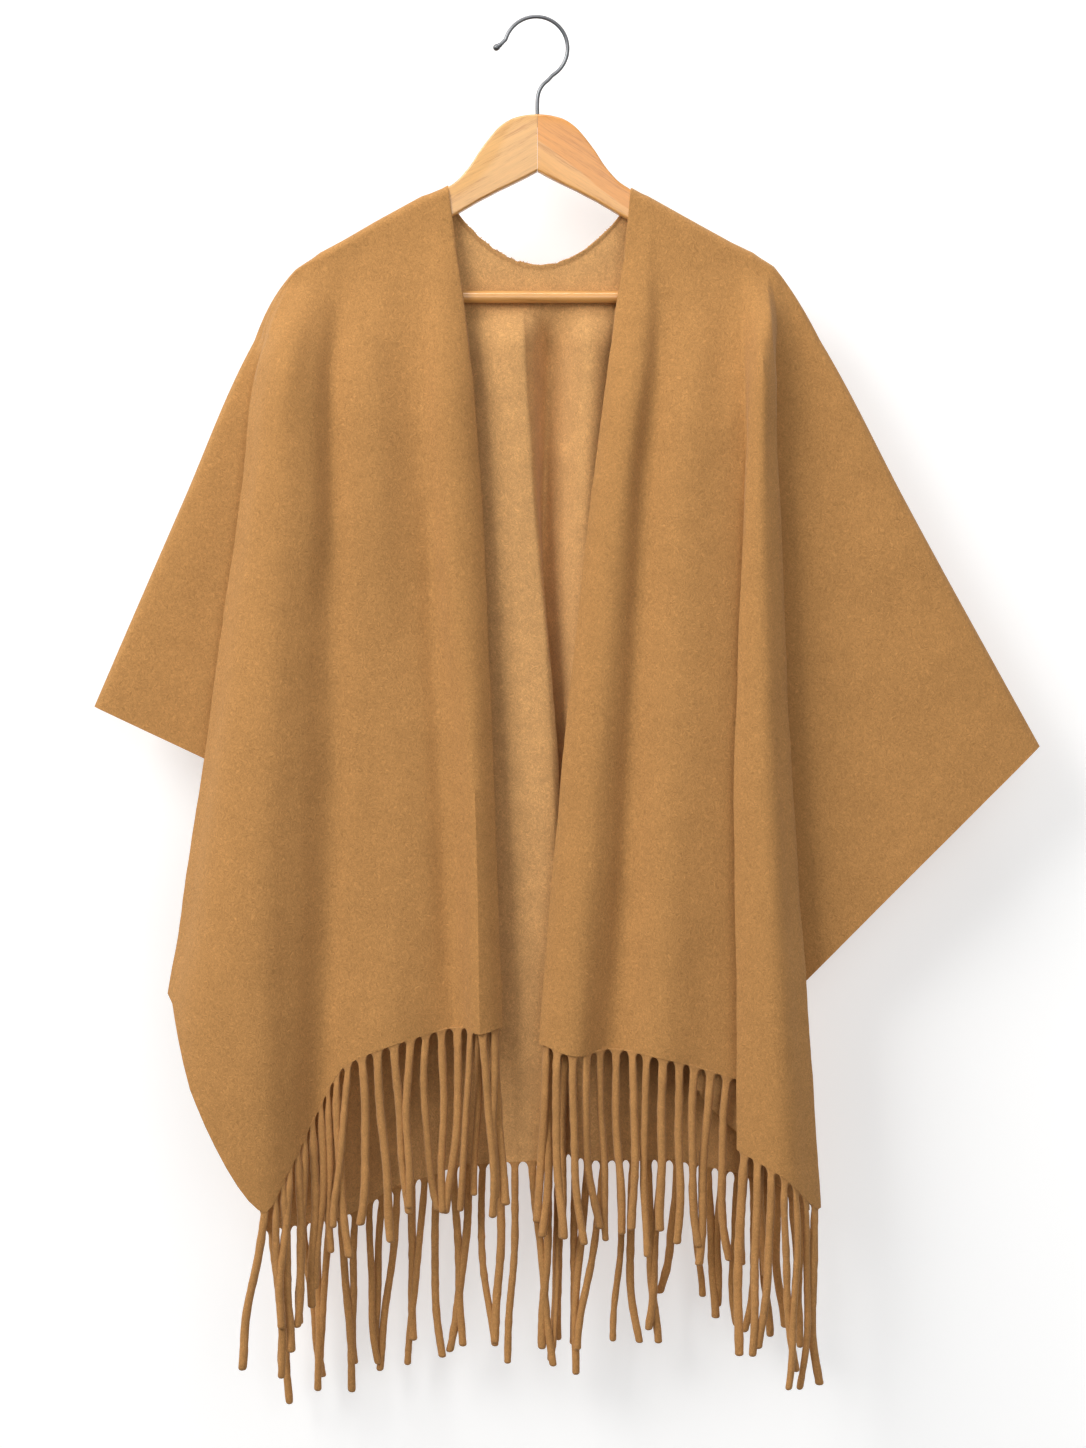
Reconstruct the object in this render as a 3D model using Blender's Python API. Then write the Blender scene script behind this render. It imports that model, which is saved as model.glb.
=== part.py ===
"""A fringed wool poncho that hangs open-fronted on a wooden hanger, its cloth built as thin folded walls.

Metres, +Z up, the front faces -Y. The origin is the inner top of the hook's bend, where a rail holds it.
The tables below are in millimetres. A drop is a depth below the origin, and out is a distance from the
hanger's middle.
"""

import math
from collections import namedtuple

import bmesh
import bpy
import numpy as np

MM = 0.001
SHARP_DEGREES = 50
GAP = 0.3  # between pieces that touch
CLOTH = 2.4  # thickness of the wool
PINCHED_CLOTH = 1.1  # where the folds gather at the end of an arm, and at the neckline's corners
PINCH_START = 200.0  # from the middle outwards, over
PINCH_WIDTH = 8.0
PINCH_FADE = 110.0  # and down to this far below the bar

# The hanger
HANGER_X = 1.5  # its middle
BOARD_HALF = 6.0  # half the board's thickness
CREST_OUT = 84.0  # where the arm leaves the swan neck and runs straight
CREST_DROP = 157.8
ARM_SLOPE = 0.563
BAR_DROP = 259.0
BAR_RADIUS = 5.65
BAR_HALF = 208.5
SOCKET_DEPTH = 0.6  # how far the bar's socket runs past the bar's end
WIRE_RADIUS = 1.75
HOOK_RADIUS = 29.4  # to the wire's centreline
STEM_FOOT_DROP = 101.0
DRILL = 30.0  # length of the cutters for the bar's sockets and the stem's hole
DRILL_SIDES = 20
ARM_CAP_SIDES = 5
CAP_SHARE = 0.45  # the most of the board's height that one rounded edge takes
BAR_SIDES = 16
WIRE_SIDES = 8
BEND_X = 0.2  # centre of the hook's bend
BEND_FROM = 164  # degrees, from the ball tip's side over the top
BEND_TURN = 222
BEND_STEPS = 20

HookPoint = namedtuple("HookPoint", "x z radius")
BALL_TIP = (
    HookPoint(-38.8, -28.4, 0.8),
    HookPoint(-38.0, -27.9, 2.2),
    HookPoint(-36.2, -26.6, 2.9),
    HookPoint(-34.4, -25.4, 2.3),
    HookPoint(-33.0, -24.4, WIRE_RADIUS),
    HookPoint(-31.2, -22.8, WIRE_RADIUS),
)
# From the bend down into the wood: x and drop.
SWAN_NECK = (
    (11.4, 57.2), (7.0, 61.2), (3.9, 65.8), (2.2, 71.0), (HANGER_X, 77.0), (HANGER_X, 90.0),
    (HANGER_X, STEM_FOOT_DROP),
)

ArmStation = namedtuple("ArmStation", "out top under half")
ARM_STATIONS = (
    ArmStation(GAP / 2, 89.4, 142.4, 6.0),
    ArmStation(13, 90.7, 149.3, 6.0),
    ArmStation(26, 94.8, 155.7, 6.0),
    ArmStation(37, 102.8, 161.0, 6.0),
    ArmStation(46, 113.4, 165.8, 6.0),
    ArmStation(54.5, 124.9, 170.1, 6.0),
    ArmStation(61.5, 136.0, 174.3, 6.0),
    ArmStation(68, 144.2, 178.0, 6.0),
    ArmStation(75, 151.6, 182.3, 6.0),
    ArmStation(CREST_OUT, CREST_DROP, 187.1, 6.0),
    ArmStation(140, 189.3, 216.9, 6.0),
    ArmStation(192, 218.6, 244.6, 6.0),
    ArmStation(197, 221.4, 252.0, 6.0),
    ArmStation(200, 223.1, 263.0, 6.0),
    ArmStation(204, 225.8, 267.0, 6.0),
    ArmStation(209, 230.2, 267.6, 6.0),
    ArmStation(213, 235.5, 264.5, 5.2),
    ArmStation(216, 243.0, 257.5, 3.0),
)

# The cloth over the arm is an arc round the board's top edge.
WRAP_Y = BOARD_HALF + GAP + CLOTH / 2
WRAP_Z = WRAP_Y * math.hypot(1, ARM_SLOPE)
CrestLift = namedtuple("CrestLift", "out left right")  # how far the cloth stands off the arm's straight top
CREST_LIFTS = (
    CrestLift(88, 0.0, 0.0),
    CrestLift(108, 2.8, 0.2),
    CrestLift(150, 3.4, 0.4),
    CrestLift(180, 2.8, 0.8),
    CrestLift(201, 3.4, 2.6),
    CrestLift(222, 1.6, 1.2),
)
LEFT_PUSH = 5.0  # the rounding of the cloth past the arm's end, outwards
RIGHT_PUSH = 2.5
PUSH_START = 195.0
PUSH_WIDTH = 20.0
PUSH_SKEW = 0.8
SEAM_Y = GAP / 2  # front and back part here, on the crest and along the wings' folds
NECK_MIDDLE = 3.7
NECK_HALF = 89.0
NECK_DEPTH = 71.0
NECK_POWER = 0.75
FLANK_END_SHARE = 0.1
FLANK_DEPTH = 0.35  # of a turn's radius that parts its flanks in depth before the cloth laps
LAP_RADII = 3.0  # laps this many radii deep are fully turned
NECK_FLAT = 11.0  # the cloth over the arm begins no lower than this, however late a column starts
NECK_SPACING = 17.0  # between columns along the neckline
NECK_SEAT = WRAP_Y + 0.5
NECK_COLUMNS = 4  # where the neckline turns over the arm
WRAP_ROWS = 3
COLUMN_SPACING = 30.0
BAR_ROWS = 2
HANGING_ROWS = 11
ROW_GROWTH = 1.25

# A row for each fold line, from the slit outwards on a front and from left to right on the back. start is
# its place on the shoulder, and x300 to x950 are its places at those drops. y_up and y_low are its depths
# at 450 and 950, turn is the radius of a folded edge, signed towards the cloth, ease is the height over
# which the fold grows out of the shoulder, and end is the drop of the hem or selvage.
Fold = namedtuple("Fold", "name start x300 x450 x700 x950 y_up y_low turn ease end seat",
                  defaults=(WRAP_Y,))
KNOTS = (300.0, 450.0, 700.0, 950.0)

FRONT_LEFT = (
    Fold("slit_edge", -82, -66, -80, -70, -60, -13, -15, 0, 200, 934),
    Fold("slit_roll", -86, -63, -51, -40, -31, -25, -28, -5, 200, 936),
    Fold("roll_crest", -93, -86, -76, -57, -51, -36, -42, 0, 200, 941),
    Fold("roll_valley", -102, -108, -100, -75, -72, -23, -22, 0, 200, 936),
    Fold("chest", -135, -150, -142, -131, -134, -33, -40, 0, 200, 952),
    Fold("hem_step", -152, -170, -166, -163, -176, -30, -34, 0, 190, 972),
    Fold("soft_valley", -168, -187, -188, -188, -197, -23, -30, 0, 180, 1010),
    Fold("fold_rise", -182, -206, -211, -219, -224, -36, -52, 0, 150, 1064),
    Fold("fold_crest", -195, -222, -234, -246, -250, -44, -66, 0, 120, 1098),
    Fold("fold_slope", -206, -235, -256, -284, -311, -37, -54, 0, 90, 990),
    Fold("outer_fold", -212, -248, -272, -307, -345, -21, -22, 6, 60, 905),
    Fold("hidden_valley", -215.5, -252, -198, -146, -110, -12, -13, -2.5, 60, 764),
    Fold("wing_middle", -219, -255, -286, -328, -368, -6, -6, 0, 60, 680, 6.5),
    Fold("wing_fold", -222, -261, -327, -435, -540, 0, 0, 3.5, 60, 640, SEAM_Y),
)

FRONT_RIGHT = (
    Fold("slit_edge", 89, 76, 80, 56, 36, -13, -15, 0, 200, 950),
    Fold("slit_roll", 93, 71, 52, 25, 4, -25, -28, 5, 200, 951),
    Fold("roll_crest", 100, 98, 77, 55, 37, -36, -43, 0, 200, 961),
    Fold("roll_valley", 111, 114, 97, 81, 69, -23, -22, 0, 200, 956),
    Fold("chest", 145, 150, 140, 125, 115, -35, -40, 0, 200, 963),
    Fold("panel_side", 178, 178, 172, 166, 155, -32, -32, 0, 180, 974),
    Fold("under_band", 187, 192, 196, 212, 216, -30, -32, -3, 150, 995),
    Fold("band_edge", 194, 199, 193, 184, 185, -40, -46, 5, 130, 1046),
    Fold("band_crest", 202, 207, 207, 212, 222, -48, -64, 0, 110, 1070),
    Fold("outer_fold", 211, 217, 223, 234, 251, -33, -38, -8, 70, 1100),
    Fold("hidden_valley", 215, 223, 188, 160, 150, -14, -14, 2.5, 60, 985),
    Fold("wing_middle", 218, 241, 264, 300, 340, -6, -6, 0, 60, 826, 6.5),
    Fold("wing_fold", 221, 264, 343, 480, 616, 0, 0, -3.5, 60, 676, SEAM_Y),
)

BACK = (
    Fold("wing_fold", -222, -261, -327, -435, -540, 0, 0, 3.5, 60, 640, SEAM_Y),
    Fold("wing_middle", -219, -255, -282, -318, -358, 6, 6, 0, 60, 676, 6.5),
    Fold("hidden_valley", -215.5, -252, -198, -146, -110, 11, 12, -2.5, 60, 764),
    Fold("outer_fold", -211, -247, -256, -264, -258, 27, 25, 6, 60, 1131),
    Fold("ridge", -188, -206, -214, -222, -216, 40, 46, 0, 160, 1127),
    Fold("valley", -165, -178, -180, -180, -178, 22, 22, 0, 180, 1116),
    Fold("ridge", -132, -140, -140, -140, -135, 37, 42, 0, 200, 1094),
    Fold("valley", -104, -102, -100, -97, -94, 21, 21, 0, 160, 1077),
    Fold("neck_corner", -87, -87, -86, -83, -80, 18, 20, 0, 110, 1072, NECK_SEAT),
    Fold("neck_corner", -81, -82, -81, -78, -75, 16, 19, 0, 90, 1070, NECK_SEAT),
    Fold("tube", -40, -46, -46, -38, -36, -4, 3, 0, 50, 1064),
    Fold("tube_edge", -12, -10, -1, 20, 23, -10, -3, -4, 42, 1061),
    Fold("tube_valley", 16, 14, 7, 10, 17, 22, 25, 0, 55, 1056),
    Fold("tube", 50, 50, 46, 46, 48, -8, 4, 0, 45, 1062),
    Fold("neck_corner", 88, 86, 84, 86, 82, 15, 18, 0, 90, 1064, NECK_SEAT),
    Fold("neck_corner", 94, 92, 90, 92, 87, 18, 20, 0, 110, 1064, NECK_SEAT),
    Fold("valley", 106, 104, 102, 104, 98, 21, 21, 0, 150, 1064),
    Fold("ridge", 132, 134, 134, 135, 132, 36, 42, 0, 200, 1068),
    Fold("valley", 166, 172, 174, 178, 182, 22, 24, 0, 180, 1076),
    Fold("ridge", 190, 202, 206, 212, 222, 40, 46, 0, 160, 1092),
    Fold("outer_fold", 212, 221, 226, 231, 246, 27, 25, -6, 60, 1112),
    Fold("hidden_valley", 215, 224, 190, 160, 150, 12, 12, 2.5, 60, 985),
    Fold("wing_middle", 218, 241, 264, 297, 335, 6, 6, 0, 60, 820, 6.5),
    Fold("wing_fold", 221, 264, 343, 480, 616, 0, 0, -3.5, 60, 676, SEAM_Y),
)

# Fringe
STRIP_HEIGHT = 4.0
STRIP_GAP = 0.9
CHORD_SINK = 1.5  # a straight step of the strip sinks this much of what the hem's curve drops past it
STRAND_PITCH = 15.5
STRAND_WIDTH = 6.5
STRAND_FILL = 0.62  # the most of its cell that a strand takes
LENGTH_SPREAD = 40.0  # between the shortest and the longest of neighbouring strands
LENGTH_TURN = 2.4  # from one strand to the next, in its run between the two
STRAND_SHARES = (0.08, 0.36, 0.68, 1.0)
STRAND_TIP = 0.6
SWAY = 5.0
SWAY_TURN = 0.31  # from one strand to the next
SWAY_BEND = 2.6  # along a strand

# A wing's selvage is a straight line from the corner at its fold: fall is its drop for each mm inwards.
# reach is the span of drops it runs over.
Selvage = namedtuple("Selvage", "corner_x corner_drop fall reach")
LEFT_SELVAGE = Selvage(-410, 640, 0.47, (635, 960))
RIGHT_SELVAGE = Selvage(471, 674, 1.0, (669, 1000))
SELVAGE_STEPS = 663

FRONT_LEFT_LENGTHS = ((-250, 160), (-60, 168))
FRONT_RIGHT_LENGTHS = ((30, 176), (170, 170), (230, 174))
BACK_LENGTHS = (
    (-260, 150), (-40, 172), (10, 186), (60, 186), (105, 180), (125, 134), (200, 146), (260, 140),
)

Panel = namedtuple("Panel", "name folds side")
# A fringe hangs from the hem between two lines, each a fold's name and which flank of its turn. lengths
# gives (x, mean length of the strands there).
Fringe = namedtuple("Fringe", "name panel first last lengths")
Control = namedtuple("Control", "fold flank order outward beside")
Column = namedtuple("Column", "span share")


def clear_scene():
    for found in list(bpy.data.objects):
        bpy.data.objects.remove(found, do_unlink=True)


def material(name, colour, roughness, metallic=0.0):
    made = bpy.data.materials.new(name)
    made.use_nodes = True
    shader = made.node_tree.nodes["Principled BSDF"]
    shader.inputs["Base Color"].default_value = (*colour, 1.0)
    shader.inputs["Roughness"].default_value = roughness
    shader.inputs["Metallic"].default_value = metallic
    return made


def add_object(name, vertices, faces, look):
    """A smooth-shaded object from points in millimetres, its faces turned outwards."""
    mesh = bpy.data.meshes.new(name)
    mesh.from_pydata([tuple(float(v) * MM for v in point) for point in vertices], [], faces)
    work = bmesh.new()
    work.from_mesh(mesh)
    bmesh.ops.recalc_face_normals(work, faces=work.faces)
    work.to_mesh(mesh)
    work.free()
    mesh.shade_smooth()
    mesh.set_sharp_from_angle(angle=math.radians(SHARP_DEGREES))
    mesh.materials.append(look)
    made = bpy.data.objects.new(name, mesh)
    bpy.context.scene.collection.objects.link(made)
    return made


def smoothstep(at):
    at = np.clip(at, 0.0, 1.0)
    return at * at * (3.0 - 2.0 * at)


def smooth_curve(knots, values, at):
    """A cubic through the values that runs straight on past both ends."""
    knots = np.asarray(knots, float)
    values = np.asarray(values, float)
    gaps = np.diff(knots)
    slopes = np.diff(values) / gaps
    inner = (slopes[:-1] * gaps[1:] + slopes[1:] * gaps[:-1]) / (gaps[:-1] + gaps[1:])
    tangents = np.concatenate([slopes[:1], inner, slopes[-1:]])
    i = np.clip(np.searchsorted(knots, at) - 1, 0, len(gaps) - 1)
    t = (at - knots[i]) / gaps[i]
    u = np.clip(t, 0.0, 1.0)
    value = (
        (1 + 2 * u) * (1 - u) ** 2 * values[i]
        + u * (1 - u) ** 2 * gaps[i] * tangents[i]
        + u * u * (3 - 2 * u) * values[i + 1]
        + u * u * (u - 1) * gaps[i] * tangents[i + 1]
    )
    before = np.minimum(at - knots[0], 0.0) * tangents[0]
    after = np.maximum(at - knots[-1], 0.0) * tangents[-1]
    return value + before + after


def crest_drop(x):
    """The cloth's middle over the arm."""
    out = abs(x - HANGER_X)
    outs, left, right = zip(*CREST_LIFTS)
    lift = (GAP + CLOTH / 2) * math.hypot(1, ARM_SLOPE)
    lift += np.interp(out, outs, left if x < HANGER_X else right)
    return CREST_DROP + ARM_SLOPE * (out - CREST_OUT) - lift


def edge_drop(panel, x):
    """Where the panel begins: the arm's crest, or the neckline's scoop on the back."""
    crest = crest_drop(x)
    across = abs(x - NECK_MIDDLE) / NECK_HALF
    if panel.side < 0 or across >= 1:
        return crest
    rim = crest_drop(NECK_MIDDLE - NECK_HALF)
    return max(crest, rim + NECK_DEPTH * math.cos(across * math.pi / 2) ** NECK_POWER)


def controls_of(panel):
    """The fold lines, each folded edge given a line on both flanks of its turn."""
    folds = panel.folds
    outward = 1 if folds[-1].start > folds[0].start else -1
    made = []
    for i, fold in enumerate(folds):
        before = folds[max(i - 1, 0)]
        after = folds[min(i + 1, len(folds) - 1)]
        order = 1 if after.y_low > before.y_low else -1
        flanks = (-1, 0, 1) if fold.turn else (0,)
        if fold.name == "wing_fold":
            flanks = (0, 1) if i == 0 else (-1, 0)
        made += [Control(fold, flank, order, outward, (before, after)) for flank in flanks]
    return made


def control_start(control):
    return control.fold.start + control.flank * control.outward


def control_end(control):
    """The flanks of a folded edge end a little towards the folds beside them."""
    if not control.flank:
        return control.fold.end
    beside = control.beside[(control.flank + 1) // 2]
    return control.fold.end + FLANK_END_SHARE * (beside.end - control.fold.end)


def hem_drop(near, share):
    """The hem's drop at this share between the middle two of four lines, on a smooth curve."""
    before, first, second, after = [control_end(control) for control in near]
    bend = 2 * before - 5 * first + 4 * second - after
    twist = 3 * (first - second) + after - before
    return first + share / 2 * (second - before + share * (bend + share * twist))


def fold_x(panel, fold, drops):
    places = (fold.start, fold.x300, fold.x450, fold.x700, fold.x950)
    first = edge_drop(panel, fold.start)
    share = np.clip((drops - first) / (KNOTS[0] - first), 0.0, 1.0)
    push = (-LEFT_PUSH if fold.start < 0 else RIGHT_PUSH) * np.sin(math.pi * share**PUSH_SKEW)
    past = smoothstep((abs(fold.start - HANGER_X) - PUSH_START) / PUSH_WIDTH)
    return smooth_curve((first, *KNOTS), places, drops) + push * past


def folded_share(panel, control, drops):
    """How far a folded edge has turned back on itself: none while the cloth still runs on past it."""
    fold = control.fold
    x = fold_x(panel, fold, drops)
    lap = [(fold_x(panel, beside, drops) - x) * np.sign(fold.turn) for beside in control.beside]
    return smoothstep(np.minimum(*lap) / (LAP_RADII * abs(fold.turn)))


def control_at(panel, control, drops, lean):
    """(x, y) of one line at those drops. lean is the sine of the angle round the arm there."""
    fold = control.fold
    on_seam = fold.name == "wing_fold"
    seat = abs(fold.turn) if on_seam and control.flank else fold.seat
    depth = fold.y_up + (fold.y_low - fold.y_up) * smoothstep((drops - KNOTS[1]) / (KNOTS[3] - KNOTS[1]))
    if on_seam:
        depth = panel.side * seat
    leaves = BAR_DROP if panel.side > 0 else edge_drop(panel, fold.start) + WRAP_Z
    grown = smoothstep((drops - leaves) / fold.ease)
    x = fold_x(panel, fold, drops)
    y = panel.side * (SEAM_Y + (seat - SEAM_Y) * lean) + grown * (depth - panel.side * seat)
    if control.flank:
        turned = grown if on_seam else grown * folded_share(panel, control, drops)
        x = x + turned * fold.turn + (1 - turned) * control.flank * control.outward
        if not on_seam:
            parted = FLANK_DEPTH * grown + (1 - FLANK_DEPTH) * turned
            y = y + parted * control.flank * control.order * abs(fold.turn)
    return np.stack([x, y], axis=-1)


def columns_of(controls, panel):
    """Columns along the panel, evenly spaced at a drop of 700 but for the neckline's."""
    drop = np.array([KNOTS[2]])
    places = [control_at(panel, control, drop, np.ones(1))[0] for control in controls]
    columns = []
    for span in range(len(controls) - 1):
        length = math.dist(places[span], places[span + 1])
        in_neck = panel.side > 0 and abs(controls[span].fold.start - NECK_MIDDLE) < NECK_HALF
        count = max(1, round(length / (NECK_SPACING if in_neck else COLUMN_SPACING)))
        if controls[span].fold.name == controls[span + 1].fold.name == "neck_corner":
            count = NECK_COLUMNS
        columns += [Column(span, k / count) for k in range(count)]
    return columns + [Column(len(controls) - 2, 1.0)]


def through(points, share):
    """The point at this share between the middle two of four, on a curve paced by their distances."""
    before, first, second, after = points
    gap_a = np.linalg.norm(first - before, axis=-1, keepdims=True) ** 0.5 + 1e-6
    gap_b = np.linalg.norm(second - first, axis=-1, keepdims=True) ** 0.5 + 1e-6
    gap_c = np.linalg.norm(after - second, axis=-1, keepdims=True) ** 0.5 + 1e-6
    mid = (second - first) / gap_b
    slope_a = (first - before) / gap_a
    slope_c = (after - second) / gap_c
    tangent_1 = (slope_a * gap_b + mid * gap_a) / (gap_a + gap_b) * gap_b
    tangent_2 = (slope_c * gap_b + mid * gap_c) / (gap_b + gap_c) * gap_b
    u = share
    return (
        (1 + 2 * u) * (1 - u) ** 2 * first
        + u * (1 - u) ** 2 * tangent_1
        + u * u * (3 - 2 * u) * second
        + u * u * (u - 1) * tangent_2
    )


def row_drops(panel, start_x, end):
    """Drops of one column's points and the sine of the angle round the arm at each."""
    crest = crest_drop(start_x)
    start = edge_drop(panel, start_x)
    first_angle = math.acos(max(0.0, 1 - (start - crest) / WRAP_Z))
    share = np.arange(WRAP_ROWS + 1) / WRAP_ROWS
    angle = first_angle + (math.pi / 2 - first_angle) * share
    flat = NECK_FLAT * first_angle / (math.pi / 2)
    wrapped = start + WRAP_Z * (math.cos(first_angle) - np.cos(angle)) + flat * share
    bar = wrapped[-1] + (BAR_DROP + BAR_RADIUS - wrapped[-1]) * np.arange(1, BAR_ROWS + 1) / BAR_ROWS
    fall = (np.arange(1, HANGING_ROWS + 1) / HANGING_ROWS) ** ROW_GROWTH
    hanging = bar[-1] + (end - bar[-1]) * fall
    drops = np.concatenate([wrapped, bar, hanging])
    lean = np.concatenate([np.sin(angle), np.ones(BAR_ROWS + HANGING_ROWS)])
    return drops, lean


def selvage_drop(panel, near, share):
    """Where a column of a wing meets the wing's straight selvage."""
    selvage = LEFT_SELVAGE if near[1].fold.start < 0 else RIGHT_SELVAGE
    drops = np.linspace(*selvage.reach, SELVAGE_STEPS)
    ones = np.ones(len(drops))
    x = through([control_at(panel, control, drops, ones) for control in near], share)[:, 0]
    line = selvage.corner_drop + selvage.fall * np.abs(selvage.corner_x - x)
    return float(np.interp(0.0, drops - line, drops))


def panel_grid(panel, controls):
    """The panel's middle surface as rows by columns of points, and the columns."""
    columns = columns_of(controls, panel)
    grid = []
    for column in columns:
        first = controls[column.span]
        second = controls[column.span + 1]
        share = column.share
        start_x = control_start(first) * (1 - share) + control_start(second) * share
        near = [controls[min(max(column.span + k, 0), len(controls) - 1)] for k in (-1, 0, 1, 2)]
        end = hem_drop(near, share)
        if {first.fold.name, second.fold.name} <= {"hidden_valley", "wing_middle", "wing_fold"}:
            end = selvage_drop(panel, near, share)
        drops, lean = row_drops(panel, start_x, end)
        points = through([control_at(panel, control, drops, lean) for control in near], share)
        miss = start_x - points[0, 0]
        points[:, 0] += miss * (1 - smoothstep((drops - drops[0]) / KNOTS[0]))
        grid.append(np.column_stack([points, -drops]))
    return np.array(grid).transpose(1, 0, 2), columns


def seam_normals(border, beside):
    """Unit normals along a seam, in the seam's own plane and on the same side as the normals beside it."""
    run = np.gradient(border, axis=0)
    normal = np.column_stack([run[:, 2], np.zeros(len(run)), -run[:, 0]])
    normal /= np.linalg.norm(normal, axis=1, keepdims=True)
    return normal * np.where(np.sum(normal * beside, axis=1) < 0, -1.0, 1.0)[:, None]


def grid_normals(grid):
    """Unit normals of the middle surface."""
    normal = np.cross(np.gradient(grid, axis=0), np.gradient(grid, axis=1))
    normal /= np.linalg.norm(normal, axis=-1, keepdims=True)
    on_crest = np.abs(grid[0, :, 1]) < SEAM_Y * 1.5
    normal[0, on_crest] = seam_normals(grid[0], normal[1])[on_crest]
    for column, beside in ((0, 1), (-1, -2)):
        if abs(grid[-1, column, 1]) < SEAM_Y * 1.5:
            fold = seam_normals(grid[:, column], normal[:, beside])
            fold[0] = (fold[1] + normal[0, beside]) / 2
            normal[:, column] = fold / np.linalg.norm(fold, axis=1, keepdims=True)
    return normal


def wall_thickness(grid):
    """The cloth's thickness at each point, less where its folds gather at an arm's end."""
    out = np.abs(grid[0, :, 0])
    corner = 1.0 - smoothstep((np.abs(out - NECK_HALF) - PINCH_WIDTH) / PINCH_WIDTH)
    gathered = np.maximum(smoothstep((out - PINCH_START) / PINCH_WIDTH), corner)
    falling = 1.0 - smoothstep((-grid[..., 2] - BAR_DROP) / PINCH_FADE)
    return (CLOTH - (CLOTH - PINCHED_CLOTH) * gathered[None, :] * falling)[..., None]


def cloth_wall(name, grid, normals, look):
    """A closed wall round the middle surface, its two skins split along the same diagonals."""
    rows, columns = grid.shape[:2]
    thickness = wall_thickness(grid)
    outer = (grid + normals * thickness / 2).reshape(-1, 3)
    inner = (grid - normals * thickness / 2).reshape(-1, 3)
    count = rows * columns

    def at(row, column):
        return row * columns + column

    faces = []
    for r in range(rows - 1):
        for c in range(columns - 1):
            a, b, d, e = at(r, c), at(r + 1, c), at(r + 1, c + 1), at(r, c + 1)
            falls = math.dist(grid[r, c], grid[r + 1, c + 1]) < math.dist(grid[r + 1, c], grid[r, c + 1])
            for half in ((a, b, d), (a, d, e)) if falls else ((a, b, e), (b, d, e)):
                faces.append(half)
                faces.append(tuple(count + i for i in reversed(half)))
    border = [at(r, 0) for r in range(rows)]
    border += [at(rows - 1, c) for c in range(1, columns)]
    border += [at(r, columns - 1) for r in range(rows - 2, -1, -1)]
    border += [at(0, c) for c in range(columns - 2, 0, -1)]
    for i, here in enumerate(border):
        after = border[(i + 1) % len(border)]
        faces.append((after, here, count + here, count + after))
    return add_object(name, np.concatenate([outer, inner]), faces, look)


def hem_stations(fringe, grid, normals, columns, controls):
    """Points and level normals at even steps along the hem that carries the fringe."""
    spans = [column.span + column.share for column in columns]
    lines = [(control.fold.name, control.flank) for control in controls]
    first = spans.index(lines.index(fringe.first))
    last = spans.index(len(lines) - 1 - lines[::-1].index(fringe.last))
    points = grid[-1, first : last + 1]
    level = normals[-1, first : last + 1].copy()
    level[:, 2] = 0.0
    lengths = np.concatenate([[0.0], np.cumsum(np.linalg.norm(np.diff(points, axis=0), axis=1))])
    count = round(lengths[-1] / STRAND_PITCH)
    along = np.linspace(0.0, lengths[-1], count + 1)
    hem = np.column_stack([np.interp(along, lengths, points[:, k]) for k in range(3)])
    facing = np.column_stack([np.interp(along, lengths, level[:, k]) for k in range(3)])
    facing /= np.linalg.norm(facing, axis=1, keepdims=True)
    sink = np.zeros(count + 1)
    for cell in range(count):
        inside = (lengths > along[cell]) & (lengths < along[cell + 1])
        chord = np.interp(lengths[inside], along[cell : cell + 2], hem[cell : cell + 2, 2])
        over = CHORD_SINK * max([0.0, *(chord - points[inside, 2])])
        sink[cell : cell + 2] = np.maximum(sink[cell : cell + 2], over)
    hem[:, 2] -= sink
    return hem, facing


def strand_rings(left, right, facing, number, fringe):
    """The corner rings of one strand, from its root cell down to its blunt end."""
    middle = (left + right) / 2
    across = (right - left) * (1, 1, 0)
    spread = np.linalg.norm(across)
    across = across / spread
    width = min(STRAND_WIDTH, STRAND_FILL * spread)
    longer = 0.5 + 0.5 * math.sin(LENGTH_TURN * number)
    length = np.interp(middle[0], *zip(*fringe.lengths)) + (longer - 0.5) * LENGTH_SPREAD
    rings = []
    for share in STRAND_SHARES:
        fall = length * share
        narrow = width if share < 1 else width * STRAND_TIP
        sway = SWAY * share * math.sin(SWAY_TURN * number + SWAY_BEND * share)
        centre = middle + np.array([sway, 0.0, -fall])
        rings.append([
            centre + across * a * narrow / 2 + facing * b * narrow / 2
            for a, b in ((-1, 1), (1, 1), (1, -1), (-1, -1))
        ])
    return rings


def add_fringe(fringe, grid, normals, columns, controls, look):
    """A narrow strip under the hem, with a strand drawn down from each of its cells."""
    hem, facing = hem_stations(fringe, grid, normals, columns, controls)
    top = hem - (0.0, 0.0, STRIP_GAP)
    bottom = top - (0.0, 0.0, STRIP_HEIGHT)
    vertices = []
    for high, low, front in zip(top, bottom, facing):
        half = front * CLOTH / 2
        vertices += [high + half, low + half, low - half, high - half]
    faces = [(0, 1, 2, 3)]
    cells = len(hem) - 1
    faces.append(tuple(4 * cells + k for k in (3, 2, 1, 0)))
    for cell in range(cells):
        a = 4 * cell
        b = a + 4
        faces += [(a, b, b + 1, a + 1), (a + 3, a + 2, b + 2, b + 3), (a, a + 3, b + 3, b)]
        root = [a + 1, b + 1, b + 2, a + 2]
        middle_facing = facing[cell] + facing[cell + 1]
        middle_facing /= np.linalg.norm(middle_facing)
        for ring in strand_rings(bottom[cell], bottom[cell + 1], middle_facing, cell, fringe):
            base = len(vertices)
            vertices += ring
            corners = [base, base + 1, base + 2, base + 3]
            for k in range(4):
                n = (k + 1) % 4
                faces.append((root[k], root[n], corners[n], corners[k]))
            root = corners
        faces.append(tuple(root))
    return add_object(fringe.name, vertices, faces, look)


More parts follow.
